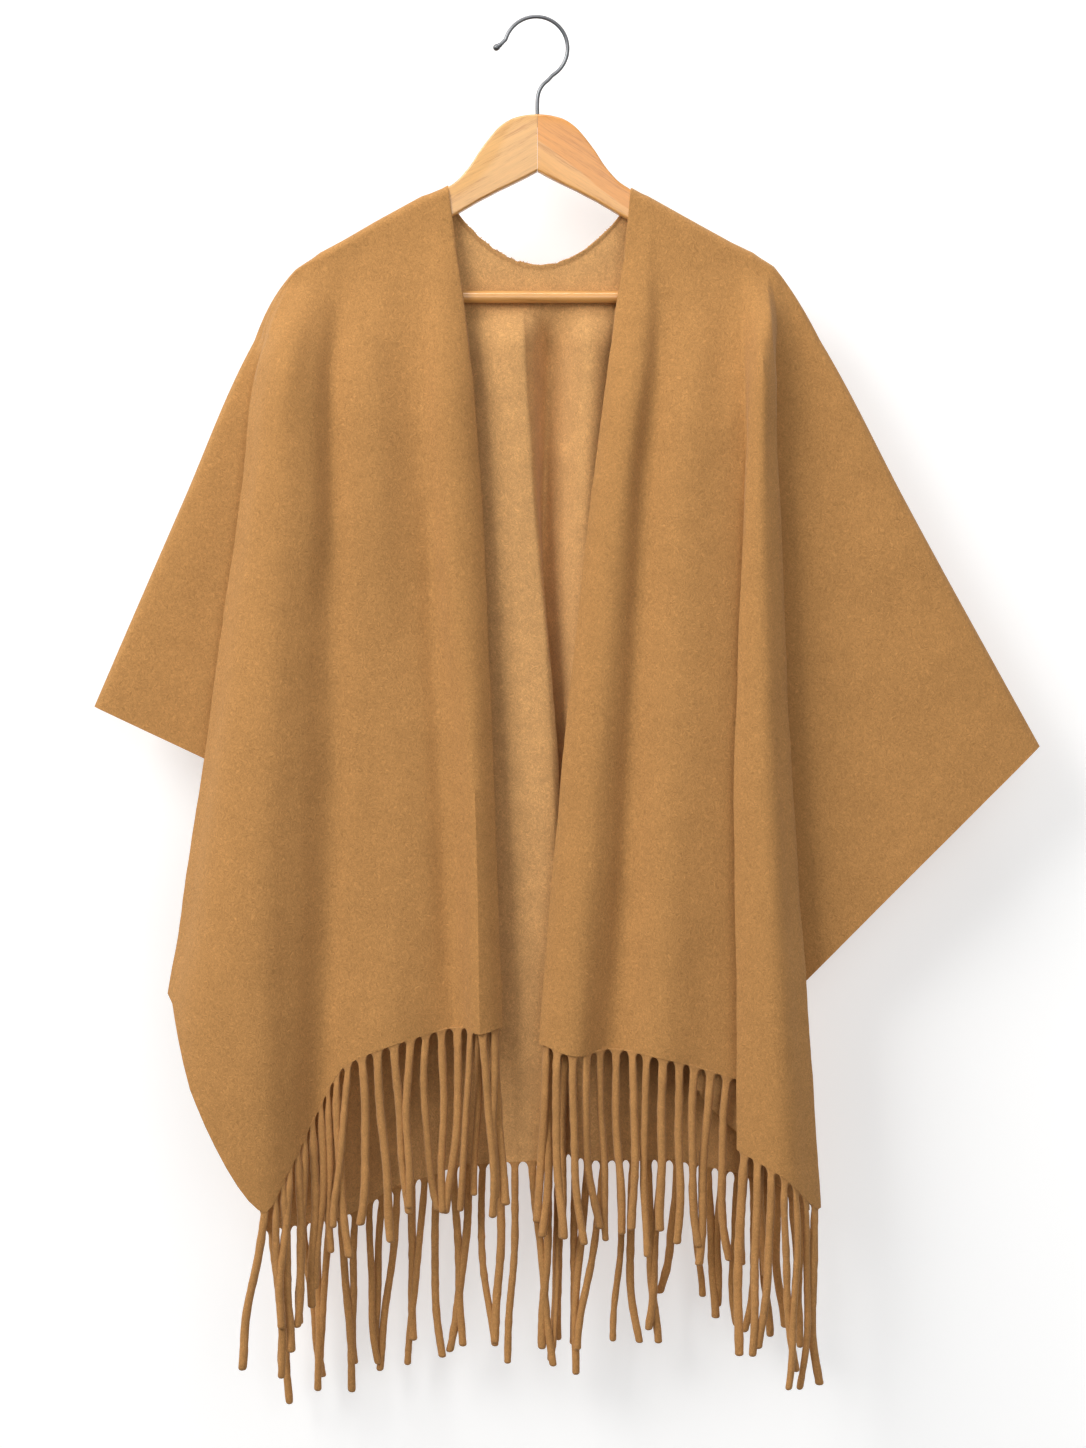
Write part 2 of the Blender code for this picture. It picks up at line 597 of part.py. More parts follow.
def arm_section(station, side):
    """The board's outline across the arm, round along its top and under edges."""
    last = ARM_CAP_SIDES
    x = HANGER_X + side * station.out
    tall = station.under - station.top
    cap = min(station.half * math.hypot(1, ARM_SLOPE), tall * CAP_SHARE)
    points = []
    for step in range(last + 1):
        angle = math.pi * step / last
        points.append((x, station.half * math.cos(angle), -station.top - cap + cap * math.sin(angle)))
    for step in range(last + 1):
        angle = math.pi * step / last
        points.append((x, -station.half * math.cos(angle), -station.under + cap - cap * math.sin(angle)))
    return points


def cut_hole(obj, centre, radius, length, axis_turn):
    bpy.ops.mesh.primitive_cylinder_add(vertices=DRILL_SIDES, radius=radius * MM, depth=length * MM)
    cutter = bpy.context.object
    cutter.location = [v * MM for v in centre]
    cutter.rotation_euler = axis_turn
    cutter.hide_render = True
    cutter.display_type = "WIRE"
    cutter.name = "cutter_" + obj.name
    hole = obj.modifiers.new("hole", "BOOLEAN")
    hole.operation = "DIFFERENCE"
    hole.solver = "EXACT"
    hole.object = cutter


def add_arm(name, side, look):
    vertices = []
    for station in ARM_STATIONS:
        vertices += arm_section(station, side)
    ring = 2 * (ARM_CAP_SIDES + 1)
    faces = [tuple(range(ring)), tuple(range(len(vertices) - ring, len(vertices)))]
    for s in range(len(ARM_STATIONS) - 1):
        for k in range(ring):
            n = (k + 1) % ring
            faces.append((s * ring + k, s * ring + n, (s + 1) * ring + n, (s + 1) * ring + k))
    arm = add_object(name, vertices, faces, look)
    socket_x = HANGER_X + side * (BAR_HALF + SOCKET_DEPTH - DRILL / 2)
    cut_hole(arm, (socket_x, 0, -BAR_DROP), BAR_RADIUS + GAP, DRILL, (0, math.pi / 2, 0))
    stem_drop = STEM_FOOT_DROP + GAP - DRILL / 2
    cut_hole(arm, (HANGER_X, 0, -stem_drop), WIRE_RADIUS + GAP, DRILL, (0, 0, 0))
    return arm


def hook_path():
    """The wire's centreline with its radius: ball tip, bend, swan neck and stem."""
    path = [tuple(point) for point in BALL_TIP]
    for step in range(BEND_STEPS + 1):
        angle = math.radians(BEND_FROM - BEND_TURN * step / BEND_STEPS)
        x = BEND_X + HOOK_RADIUS * math.cos(angle)
        path.append((x, WIRE_RADIUS - HOOK_RADIUS + HOOK_RADIUS * math.sin(angle), WIRE_RADIUS))
    return path + [(x, -drop, WIRE_RADIUS) for x, drop in SWAN_NECK]


def add_hook(look):
    path = np.array(hook_path())
    sides = WIRE_SIDES
    run = np.gradient(path[:, :2], axis=0)
    run /= np.linalg.norm(run, axis=1, keepdims=True)
    vertices = []
    for (x, z, radius), (run_x, run_z) in zip(path, run):
        for k in range(sides):
            angle = 2 * math.pi * k / sides
            off = radius * math.cos(angle)
            vertices.append((x - run_z * off, radius * math.sin(angle), z + run_x * off))
    faces = [tuple(range(sides)), tuple(range(len(vertices) - sides, len(vertices)))]
    for s in range(len(path) - 1):
        for k in range(sides):
            n = (k + 1) % sides
            faces.append((s * sides + k, s * sides + n, (s + 1) * sides + n, (s + 1) * sides + k))
    return add_object("hanger_hook", vertices, faces, look)


def add_bar(look):
    sides = BAR_SIDES
    vertices = []
    for end in (-1, 1):
        for k in range(sides):
            angle = 2 * math.pi * k / sides
            vertices.append((
                HANGER_X + end * BAR_HALF,
                BAR_RADIUS * math.cos(angle),
                -BAR_DROP + BAR_RADIUS * math.sin(angle),
            ))
    faces = [tuple(range(sides)), tuple(range(sides, 2 * sides))]
    faces += [(k, (k + 1) % sides, sides + (k + 1) % sides, sides + k) for k in range(sides)]
    return add_object("hanger_bar", vertices, faces, look)


def main():
    clear_scene()
    wool = material("wool", (0.552, 0.296, 0.112), 0.95)
    pale = material("pale_wood", (0.80, 0.50, 0.22), 0.4)
    amber = material("amber_wood", (0.74, 0.40, 0.14), 0.4)
    chrome = material("chrome", (0.75, 0.75, 0.76), 0.15, 1.0)
    front_left = Panel("front_left", FRONT_LEFT, -1)
    front_right = Panel("front_right", FRONT_RIGHT, -1)
    back = Panel("back", BACK, 1)
    fringes = (
        Fringe("fringe_front_left", front_left, ("slit_edge", 0), ("fold_crest", 0), FRONT_LEFT_LENGTHS),
        Fringe("fringe_front_right", front_right, ("slit_edge", 0), ("under_band", -1), FRONT_RIGHT_LENGTHS),
        Fringe("fringe_band", front_right, ("band_edge", 0), ("outer_fold", 0), FRONT_RIGHT_LENGTHS),
        Fringe("fringe_back", back, ("outer_fold", 0), ("outer_fold", 0), BACK_LENGTHS),
    )
    for panel in (front_left, front_right, back):
        controls = controls_of(panel)
        grid, columns = panel_grid(panel, controls)
        normals = grid_normals(grid)
        cloth_wall(panel.name, grid, normals, wool)
        for fringe in fringes:
            if fringe.panel is panel:
                add_fringe(fringe, grid, normals, columns, controls, wool)
    add_arm("hanger_arm_left", -1, pale)
    add_arm("hanger_arm_right", 1, amber)
    add_bar(pale)
    add_hook(chrome)


main()
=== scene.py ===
"""Dresses the fringed poncho and its hanger: fine cloth, felted strands, grained wood and chrome.

The tables are in millimetres, as in the part's source. A drop is a depth below the origin, which
is the inner top of the hook's bend, and out is a distance from the hanger's middle. The front faces
-Y.
"""

import math
import random
from collections import namedtuple

import bmesh
import bpy
import numpy as np
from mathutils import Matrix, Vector, noise


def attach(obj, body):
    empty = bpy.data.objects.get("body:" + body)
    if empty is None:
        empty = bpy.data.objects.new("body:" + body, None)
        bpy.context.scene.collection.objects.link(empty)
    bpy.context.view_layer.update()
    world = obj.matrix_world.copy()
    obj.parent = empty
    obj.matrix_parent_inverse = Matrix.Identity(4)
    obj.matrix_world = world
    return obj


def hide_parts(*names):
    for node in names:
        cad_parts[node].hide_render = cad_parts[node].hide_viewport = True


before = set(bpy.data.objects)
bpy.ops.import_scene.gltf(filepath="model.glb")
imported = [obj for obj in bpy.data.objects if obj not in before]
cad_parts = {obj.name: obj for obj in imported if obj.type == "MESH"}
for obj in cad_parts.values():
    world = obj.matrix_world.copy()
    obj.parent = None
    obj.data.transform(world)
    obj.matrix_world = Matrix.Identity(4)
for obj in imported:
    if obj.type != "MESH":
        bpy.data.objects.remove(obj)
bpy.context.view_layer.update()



def rows(kind, *values):
    """A table: one named row for each set of values."""
    return tuple(kind(*row) for row in values)


MM = 0.001
GAP = 0.3  # between pieces
CLOTH = 2.4  # thickness of the wool
PINCHED_CLOTH = 1.1  # where the folds gather at the end of an arm, and at the neckline's corners
PINCH_START = 200.0  # from the middle outwards, over
PINCH_WIDTH = 8.0
PINCH_FADE = 110.0  # and down to this far below the bar

# The hanger
HANGER_X = 1.5  # its middle
BOARD_HALF = 6.0  # half the board's thickness
CREST_OUT = 84.0  # where the arm leaves the swan neck and runs straight
CREST_DROP = 157.8
ARM_SLOPE = 0.563
BAR_DROP = 259.0
BAR_RADIUS = 5.65
BAR_HALF = 208.5
WIRE_RADIUS = 1.75
HOOK_RADIUS = 29.4  # to the wire's centreline
STEM_FOOT_DROP = 101.0
BAR_SIDES = 40
WIRE_SIDES = 24
BEND_X = 0.2  # centre of the hook's bend
BEND_FROM = 164  # degrees, from the ball tip's side over the top
BEND_TURN = 222
BEND_STEPS = 60

HookPoint = namedtuple("HookPoint", "x z radius")
# From the bend down into the wood: x and drop.
SWAN_NECK = (
    (11.4, 57.2), (7.0, 61.2), (3.9, 65.8), (2.2, 71.0), (HANGER_X, 77.0), (HANGER_X, 90.0),
    (HANGER_X, STEM_FOOT_DROP),
)

ArmStation = namedtuple("ArmStation", "out top under half", defaults=(BOARD_HALF,))
ARM_STATIONS = rows(
    ArmStation,
    (GAP / 2, 89.4, 142.4),
    (13, 90.7, 149.3),
    (26, 94.8, 155.7),
    (37, 102.8, 161.0),
    (46, 113.4, 165.8),
    (54.5, 124.9, 170.1),
    (61.5, 136.0, 174.3),
    (68, 144.2, 178.0),
    (75, 151.6, 182.3),
    (CREST_OUT, CREST_DROP, 187.1),
    (140, 189.3, 216.9),
    (192, 218.6, 244.6),
    (197, 221.4, 252.0),
    (200, 223.1, 263.0),
    (204, 225.8, 267.0),
    (209, 230.2, 267.6),
    (213, 235.5, 264.5, 5.2),
    (216, 243.0, 257.5, 3.0),
)

# The cloth over the arm is an arc round the board's top edge.
WRAP_Y = BOARD_HALF + GAP + CLOTH / 2
WRAP_Z = WRAP_Y * math.hypot(1, ARM_SLOPE)
# How far the cloth stands off the arm's straight top on either side.
CrestLift = namedtuple("CrestLift", "out left right")
CREST_LIFTS = rows(
    CrestLift,
    (88, 0.0, 0.0),
    (108, 2.8, 0.2),
    (150, 3.4, 0.4),
    (180, 2.8, 0.8),
    (201, 3.4, 2.6),
    (222, 1.6, 1.2),
)
LEFT_PUSH = 5.0  # the rounding of the cloth past the arm's end, outwards
RIGHT_PUSH = 2.5
PUSH_START = 195.0
PUSH_WIDTH = 20.0
PUSH_SKEW = 0.8
SEAM_Y = 0.02  # front and back part here, on the crest and along the wings' folds
NECK_MIDDLE = 3.7
NECK_HALF = 89.0
NECK_DEPTH = 71.0
NECK_POWER = 0.75
FLANK_END_SHARE = 0.1
FLANK_DEPTH = 0.35  # of a turn's radius that parts its flanks in depth before the cloth laps
LAP_RADII = 3.0  # laps this many radii deep are fully turned
NECK_FLAT = 11.0  # the cloth over the arm begins no lower than this, however late a column starts
NECK_SPACING = 4.0  # between columns along the neckline
NECK_SEAT = WRAP_Y + 0.5
NECK_COLUMNS = 6  # where the neckline turns over the arm
WRAP_ROWS = 8
COLUMN_SPACING = 6.0
BAR_ROWS = 14
HANGING_ROWS = 110
ON_SEAM = SEAM_Y * 1.5  # cloth nearer the hanger's plane than this lies on a seam

# A row for each fold line, from the slit outwards on a front and from left to right on the back.
# start is its place on the shoulder, and x300 to x950 are its places at those drops. y_up and y_low
# are its depths at 450 and 950, turn is the radius of a folded edge, signed towards the cloth, ease
# is the height over which the fold grows out of the shoulder, and end is the drop of the hem or
# selvage.
Fold = namedtuple("Fold", "name start x300 x450 x700 x950 y_up y_low turn ease end seat",
                  defaults=(WRAP_Y,))
KNOTS = (300.0, 450.0, 700.0, 950.0)

FRONT_LEFT = rows(
    Fold,
    ("slit_edge", -82, -66, -80, -70, -60, -13, -15, 0, 200, 934),
    ("slit_roll", -86, -63, -51, -40, -31, -25, -28, -5, 200, 936),
    ("roll_crest", -93, -86, -76, -57, -51, -36, -42, 0, 200, 941),
    ("roll_valley", -102, -108, -100, -75, -72, -23, -22, 0, 200, 936),
    ("chest", -135, -150, -142, -131, -134, -33, -40, 0, 200, 952),
    ("hem_step", -152, -170, -166, -163, -176, -30, -34, 0, 190, 972),
    ("soft_valley", -168, -187, -188, -188, -197, -23, -30, 0, 180, 1010),
    ("fold_rise", -182, -206, -211, -219, -224, -36, -52, 0, 150, 1064),
    ("fold_crest", -195, -222, -234, -246, -250, -44, -66, 0, 120, 1098),
    ("fold_slope", -206, -235, -256, -284, -311, -37, -54, 0, 90, 990),
    ("outer_fold", -212, -248, -272, -307, -345, -21, -22, 6, 60, 905),
    ("hidden_valley", -215.5, -252, -198, -146, -110, -12, -13, -2.5, 60, 764),
    ("wing_middle", -219, -255, -286, -328, -368, -6, -6, 0, 60, 680, 6.5),
    ("wing_fold", -222, -261, -327, -435, -540, 0, 0, 3.5, 60, 640, SEAM_Y),
)

FRONT_RIGHT = rows(
    Fold,
    ("slit_edge", 89, 76, 80, 56, 36, -13, -15, 0, 200, 950),
    ("slit_roll", 93, 71, 52, 25, 4, -25, -28, 5, 200, 951),
    ("roll_crest", 100, 98, 77, 55, 37, -36, -43, 0, 200, 961),
    ("roll_valley", 111, 114, 97, 81, 69, -23, -22, 0, 200, 956),
    ("chest", 145, 150, 140, 125, 115, -35, -40, 0, 200, 963),
    ("panel_side", 178, 178, 172, 166, 155, -32, -32, 0, 180, 974),
    ("under_band", 187, 192, 196, 212, 216, -30, -32, -3, 150, 995),
    ("band_edge", 194, 199, 193, 184, 185, -40, -46, 5, 130, 1046),
    ("band_crest", 202, 207, 207, 212, 222, -48, -64, 0, 110, 1070),
    ("outer_fold", 211, 217, 223, 234, 251, -33, -38, -8, 70, 1100),
    ("hidden_valley", 215, 223, 188, 160, 150, -14, -14, 2.5, 60, 985),
    ("wing_middle", 218, 241, 264, 300, 340, -6, -6, 0, 60, 826, 6.5),
    ("wing_fold", 221, 264, 343, 480, 616, 0, 0, -3.5, 60, 676, SEAM_Y),
)

BACK = rows(
    Fold,
    ("wing_fold", -222, -261, -327, -435, -540, 0, 0, 3.5, 60, 640, SEAM_Y),
    ("wing_middle", -219, -255, -282, -318, -358, 6, 6, 0, 60, 676, 6.5),
    ("hidden_valley", -215.5, -252, -198, -146, -110, 11, 12, -2.5, 60, 764),
    ("outer_fold", -211, -247, -256, -264, -258, 27, 25, 6, 60, 1131),
    ("ridge", -188, -206, -214, -222, -216, 40, 46, 0, 160, 1127),
    ("valley", -165, -178, -180, -180, -178, 22, 22, 0, 180, 1116),
    ("ridge", -132, -140, -140, -140, -135, 37, 42, 0, 200, 1094),
    ("valley", -104, -102, -100, -97, -94, 21, 21, 0, 160, 1077),
    ("neck_corner", -87, -87, -86, -83, -80, 18, 20, 0, 110, 1072, NECK_SEAT),
    ("neck_corner", -81, -82, -81, -78, -75, 16, 19, 0, 90, 1070, NECK_SEAT),
    ("tube", -40, -46, -46, -38, -36, -4, 3, 0, 50, 1064),
    ("tube_edge", -12, -10, -1, 20, 23, -10, -3, -4, 42, 1061),
    ("tube_valley", 16, 14, 7, 10, 17, 22, 25, 0, 55, 1056),
    ("tube", 50, 50, 46, 46, 48, -8, 4, 0, 45, 1062),
    ("neck_corner", 88, 86, 84, 86, 82, 15, 18, 0, 90, 1064, NECK_SEAT),
    ("neck_corner", 94, 92, 90, 92, 87, 18, 20, 0, 110, 1064, NECK_SEAT),
    ("valley", 106, 104, 102, 104, 98, 21, 21, 0, 150, 1064),
    ("ridge", 132, 134, 134, 135, 132, 36, 42, 0, 200, 1068),
    ("valley", 166, 172, 174, 178, 182, 22, 24, 0, 180, 1076),
    ("ridge", 190, 202, 206, 212, 222, 40, 46, 0, 160, 1092),
    ("outer_fold", 212, 221, 226, 231, 246, 27, 25, -6, 60, 1112),
    ("hidden_valley", 215, 224, 190, 160, 150, 12, 12, 2.5, 60, 985),
    ("wing_middle", 218, 241, 264, 297, 335, 6, 6, 0, 60, 820, 6.5),
    ("wing_fold", 221, 264, 343, 480, 616, 0, 0, -3.5, 60, 676, SEAM_Y),
)

# A wing's selvage is a straight line from the corner at its fold: fall is its drop for each mm
# inwards. reach is the span of drops it runs over.
Selvage = namedtuple("Selvage", "corner_x corner_drop fall reach")
LEFT_SELVAGE = Selvage(-410, 640, 0.47, (635, 960))
RIGHT_SELVAGE = Selvage(471, 674, 1.0, (669, 1000))
SELVAGE_STEPS = 663

LEFT_LENGTHS = ((-250, 160), (-60, 168))
RIGHT_LENGTHS = ((30, 176), (170, 170), (230, 174))
BACK_LENGTHS = (
    (-260, 150), (-40, 172), (10, 186), (60, 186), (105, 180), (125, 134), (200, 146), (260, 140),
)

Panel = namedtuple("Panel", "name folds side")
# A fringe hangs from the hem between two lines, each a fold's name and which flank of its turn.
# lengths gives (x, mean length of the strands there).
Fringe = namedtuple("Fringe", "name panel first last lengths lean")
Control = namedtuple("Control", "fold flank order outward beside")
Column = namedtuple("Column", "span share")


# Fringe
STRAND_PITCH = 15.8
PITCH_JITTER = 1.0
STRAND_RADIUS = 3.75
STRAND_SIDES = 10
LENGTH_SPREAD = 30.0
ROOT_DROPS = (-1.6, 0.0, 0.5, 1.2, 2.2, 3.5, 5.0, 7.0, 10.0, 14.0, 19.0)
TIP_DROPS = (0.0, 0.35, 0.9, 1.8, 3.0)
RING_STEP = 5.0
ARCH_HEIGHT = 7.0  # of the rounded slot between two roots
ROOT_HEIGHT = 22.0  # over which a root goes from the cloth's flat section to a round one
LEVEL_HEIGHT = 26.0
ROOT_HALF = 1.15
BOW = 5.5
WIGGLE = 1.6
DEPTH_SPREAD = 4.0
RADIUS_SPREAD = (0.9, 1.08)
LUMPS = (9.0, 0.13)  # size, and share of the radius
FINE_LUMPS = (3.5, 0.06)
FLATNESS = 0.92  # thickness against width
TIP_LEAST = 0.02
TIP_POWER = 2.6
WIGGLE_TURNS = (9, 7)  # radians over a strand's length, sideways and in depth

# The cloth's surface
EDGE_BULGE = 0.8
RIM_DEGREES = 50.0
LIP_HEIGHT = 5.0  # the neckline's raw edge curls forward over this height
LIP_DEPTH = 1.5
LIP_INSET = 4.0  # from the scoop's corners
LIP_LEFT = 0.8  # how much deeper it curls left of LIP_LEFT_START
LIP_LEFT_START = -20
LIP_LEFT_WIDTH = 40
LIP_RAGGED = 1.6
RAGGED_SIZE = 4.0
LUMP_HEIGHT = 1.2
LUMP_SIZE = 60.0
FELT_HEIGHT = 0.35
FELT_SIZE = 14.0
SEAM_FADE = 2.0  # lumps and creases grow over this depth off a seam
ARM_CLEAR = 4.0  # and over ARM_FADE, this far below the arm
ARM_FADE = 20
CREASE_ENDS = 0.3  # share of a crease's length over which it fades at each end
TUFTS = 190
TUFT_LENGTH = (1.0, 3.4)
TUFT_RADIUS = (0.25, 0.6)
TUFT_PROFILE = ((0.0, 1.0), (0.55, 0.8), (1.0, 0.25))  # share of the length, share of the radius
TUFT_SIDES = 4
TUFT_INSET = 14  # from the scoop's corners
TUFT_SINK = 0.6

# Soft troughs and ridges between two places, for each layer of each panel.
Crease = namedtuple("Crease", "x_top drop_top x_low drop_low width height")
CREASES = {
    ("front_left", "body"): rows(
        Crease,
        (-203, 230, -207, 560, 20, 5.0),
        (-132, 420, -134, 990, 38, -9.0),
        (-104, 380, -76, 985, 7, -3.0),
        (-88, 380, -58, 985, 9, 3.0),
        (-120, 240, -128, 520, 26, -2.0),
        (-105, 560, -98, 930, 24, 2.0),
        (-250, 620, -232, 1000, 26, -2.0),
    ),
    ("front_left", "wing"): rows(Crease, (-300, 380, -350, 640, 26, 2.0)),
    ("front_right", "body"): rows(
        Crease,
        (92, 330, 57, 990, 12, 5.0),
        (130, 240, 122, 560, 24, 2.0),
        (96, 620, 92, 960, 20, -2.0),
        (165, 480, 158, 920, 22, 2.0),
    ),
    ("front_right", "wing"): rows(
        Crease,
        (300, 420, 420, 640, 30, 2.0),
        (260, 560, 330, 800, 28, -2.0),
    ),
    ("back", "body"): rows(
        Crease,
        (-155, 320, -165, 800, 26, -2.0),
        (150, 320, 152, 800, 26, -2.0),
    ),
    ("back", "wing"): rows(
        Crease,
        (-300, 380, -350, 640, 26, 2.0),
        (300, 420, 400, 660, 30, 2.0),
    ),
}

# The cut of what shows of each panel: width and length in metres, and area in square metres.
Cut = namedtuple("Cut", "flat area")

# Wool: colours are linear, sizes in metres
WOOL = (0.47, 0.235, 0.078)
WOOL_INSIDE = (0.58, 0.315, 0.122)
WOOL_STRAND = (0.46, 0.23, 0.08)
CURL_SIZE = 0.006
CURL_SHIFT = 0.009
NAP_SIZE = 0.0013
NAP_STRETCH = 3.2
NAP_TURNS = (25, -40)
NAP_MEAN = 0.56
FUZZ_SIZE = 0.0006
FUZZ_SHARE = 0.25
CLOUD_SIZE = 0.02
DARK_TONE = 0.74
LIGHT_TONE = 1.36
TONE_SPAN = 0.16

# Wood and wire
HONEY = ((0.72, 0.39, 0.13), (0.58, 0.27, 0.075))
AMBER = ((0.74, 0.37, 0.108), (0.58, 0.25, 0.06))
AMBER_SPLIT = (0.77, -0.113, (0.93, 0.77, 0.5))  # slope, level and tone
SPLIT_RAGGED = 0.012
SPLIT_SHARPNESS = 900
BAR_WOOD = ((0.68, 0.33, 0.09), (0.55, 0.24, 0.055))
Grain = namedtuple("Grain", "stretch size detail rough twist share")
GRAINS = rows(
    Grain,
    (22.0, 0.0011, 3.0, 0.6, 0.2, 0.4),  # lines
    (9.0, 0.007, 3.0, 0.5, 0.5, 0.42),  # bands
    (14.0, 0.0005, 1.0, 0.5, 0.0, 0.18),  # pores
)
BOARD_CORNER = 2.6
CORNER_STEPS = 5
BOARD_SHARP = 40  # degrees
BOARD_STEP = 2.5
BOARD_TIP = 190  # out; past it the board is cut in TIP_STEPS
TIP_STEPS = 20
BAR_RINGS = 30
BAR_SHARP = 60
SWAN_STEPS = 6
HOOK_TIP = rows(
    HookPoint,
    (-39.2, -28.6, 0.3),
    (-39.0, -28.5, 1.4),
    (-38.5, -28.2, 2.2),
    (-37.5, -27.5, 2.9),
    (-36.3, -26.7, 3.1),
    (-35.1, -25.9, 2.8),
    (-34.3, -25.3, 2.1),
    (-34.0, -25.1, 2.3),
    (-33.2, -24.5, 2.4),
    (-32.8, -24.2, 1.9),
    (-31.2, -22.8, WIRE_RADIUS),
    (-29.7, -21.0, WIRE_RADIUS),
)

# Studio, in metres
MIDDLE = (0.0, 0.0, -0.66)
CAMERA_PLACE = (0.0067, -3.0, -0.656)
VIEW_HEIGHT = 1.3466  # what the photo's height spans at the hanger
SENSOR = 36.0
WALL_Y = 0.08
WALL_SIZE = (7, 7)
WALL_GLOW = 0.5
WALL_PAINT = (0.62, 0.62, 0.62)
ROOM_DIM = 0.08
ROOM_BRIGHT = 0.45
Lamp = namedtuple("Lamp", "name place size power colour", defaults=((1, 1, 1),))
LAMPS = (
    Lamp("key", (-2.7, -2.7, 1.7), (2.4, 2.0), 156.0, (1.0, 0.99, 0.97)),
    Lamp("front_fill", (0.8, -3.4, 0.0), (2.2, 2.2), 30.0),
    Lamp("top_strip", (-0.2, -0.9, 1.7), (1.6, 0.4), 16.0),
    Lamp("back_light", (1.2, 2.8, 1.0), (2.2, 2.2), 40.0),
)


def smoothstep(at):
    at = np.clip(at, 0.0, 1.0)
    return at * at * (3.0 - 2.0 * at)


def cubic(u, first, second, run_first, run_second):
    """Between two values, for u from 0 to 1, leaving and meeting them at those runs."""
    return (
        (1 + 2 * u) * (1 - u) ** 2 * first
        + u * (1 - u) ** 2 * run_first
        + u * u * (3 - 2 * u) * second
        + u * u * (u - 1) * run_second
    )


def smooth_curve(knots, values, at):
    """A cubic through the values that runs straight on past both ends."""
    knots = np.asarray(knots, float)
    values = np.asarray(values, float)
    gaps = np.diff(knots)
    slopes = np.diff(values) / gaps
    inner = (slopes[:-1] * gaps[1:] + slopes[1:] * gaps[:-1]) / (gaps[:-1] + gaps[1:])
    tangents = np.concatenate([slopes[:1], inner, slopes[-1:]])
    i = np.clip(np.searchsorted(knots, at) - 1, 0, len(gaps) - 1)
    u = np.clip((at - knots[i]) / gaps[i], 0.0, 1.0)
    runs = gaps[i] * tangents[i], gaps[i] * tangents[i + 1]
    value = cubic(u, values[i], values[i + 1], *runs)
    before = np.minimum(at - knots[0], 0.0) * tangents[0]
    after = np.maximum(at - knots[-1], 0.0) * tangents[-1]
    return value + before + after


def unit(vectors):
    return vectors / np.linalg.norm(vectors, axis=-1, keepdims=True)


def crest_drop(x):
    """The cloth's middle over the arm."""
    out = abs(x - HANGER_X)
    outs, left, right = zip(*CREST_LIFTS)
    lift = (GAP + CLOTH / 2) * math.hypot(1, ARM_SLOPE)
    lift += np.interp(out, outs, left if x < HANGER_X else right)
    return CREST_DROP + ARM_SLOPE * (out - CREST_OUT) - lift


def edge_drop(panel, x):
    """Where the panel begins: the arm's crest, or the neckline's scoop on the back."""
    crest = crest_drop(x)
    across = abs(x - NECK_MIDDLE) / NECK_HALF
    if panel.side < 0 or across >= 1:
        return crest
    rim = crest_drop(NECK_MIDDLE - NECK_HALF)
    return max(crest, rim + NECK_DEPTH * math.cos(across * math.pi / 2) ** NECK_POWER)


def controls_of(panel):
    """The fold lines, each folded edge given a line on both flanks of its turn."""
    folds = panel.folds
    outward = 1 if folds[-1].start > folds[0].start else -1
    made = []
    for i, fold in enumerate(folds):
        before = folds[max(i - 1, 0)]
        after = folds[min(i + 1, len(folds) - 1)]
        order = 1 if after.y_low > before.y_low else -1
        flanks = (-1, 0, 1) if fold.turn else (0,)
        if fold.name == "wing_fold":
            flanks = (0, 1) if i == 0 else (-1, 0)
        made += [Control(fold, flank, order, outward, (before, after)) for flank in flanks]
    return made


def control_start(control):
    return control.fold.start + control.flank * control.outward


def control_end(control):
    """The flanks of a folded edge end a little towards the folds beside them."""
    if not control.flank:
        return control.fold.end
    beside = control.beside[(control.flank + 1) // 2]
    return control.fold.end + FLANK_END_SHARE * (beside.end - control.fold.end)


def hem_drop(near, share):
    """The hem's drop at this share between the middle two of four lines, on a smooth curve."""
    before, first, second, after = [control_end(control) for control in near]
    bend = 2 * before - 5 * first + 4 * second - after
    twist = 3 * (first - second) + after - before
    return first + share / 2 * (second - before + share * (bend + share * twist))


def fold_x(panel, fold, drops):
    places = (fold.start, fold.x300, fold.x450, fold.x700, fold.x950)
    first = edge_drop(panel, fold.start)
    share = np.clip((drops - first) / (KNOTS[0] - first), 0.0, 1.0)
    push = (-LEFT_PUSH if fold.start < 0 else RIGHT_PUSH) * np.sin(math.pi * share**PUSH_SKEW)
    past = smoothstep((abs(fold.start - HANGER_X) - PUSH_START) / PUSH_WIDTH)
    return smooth_curve((first, *KNOTS), places, drops) + push * past


def folded_share(panel, control, drops):
    """How far a folded edge has turned back on itself: none while the cloth runs on past it."""
    fold = control.fold
    x = fold_x(panel, fold, drops)
    lap = [(fold_x(panel, beside, drops) - x) * np.sign(fold.turn) for beside in control.beside]
    return smoothstep(np.minimum(*lap) / (LAP_RADII * abs(fold.turn)))


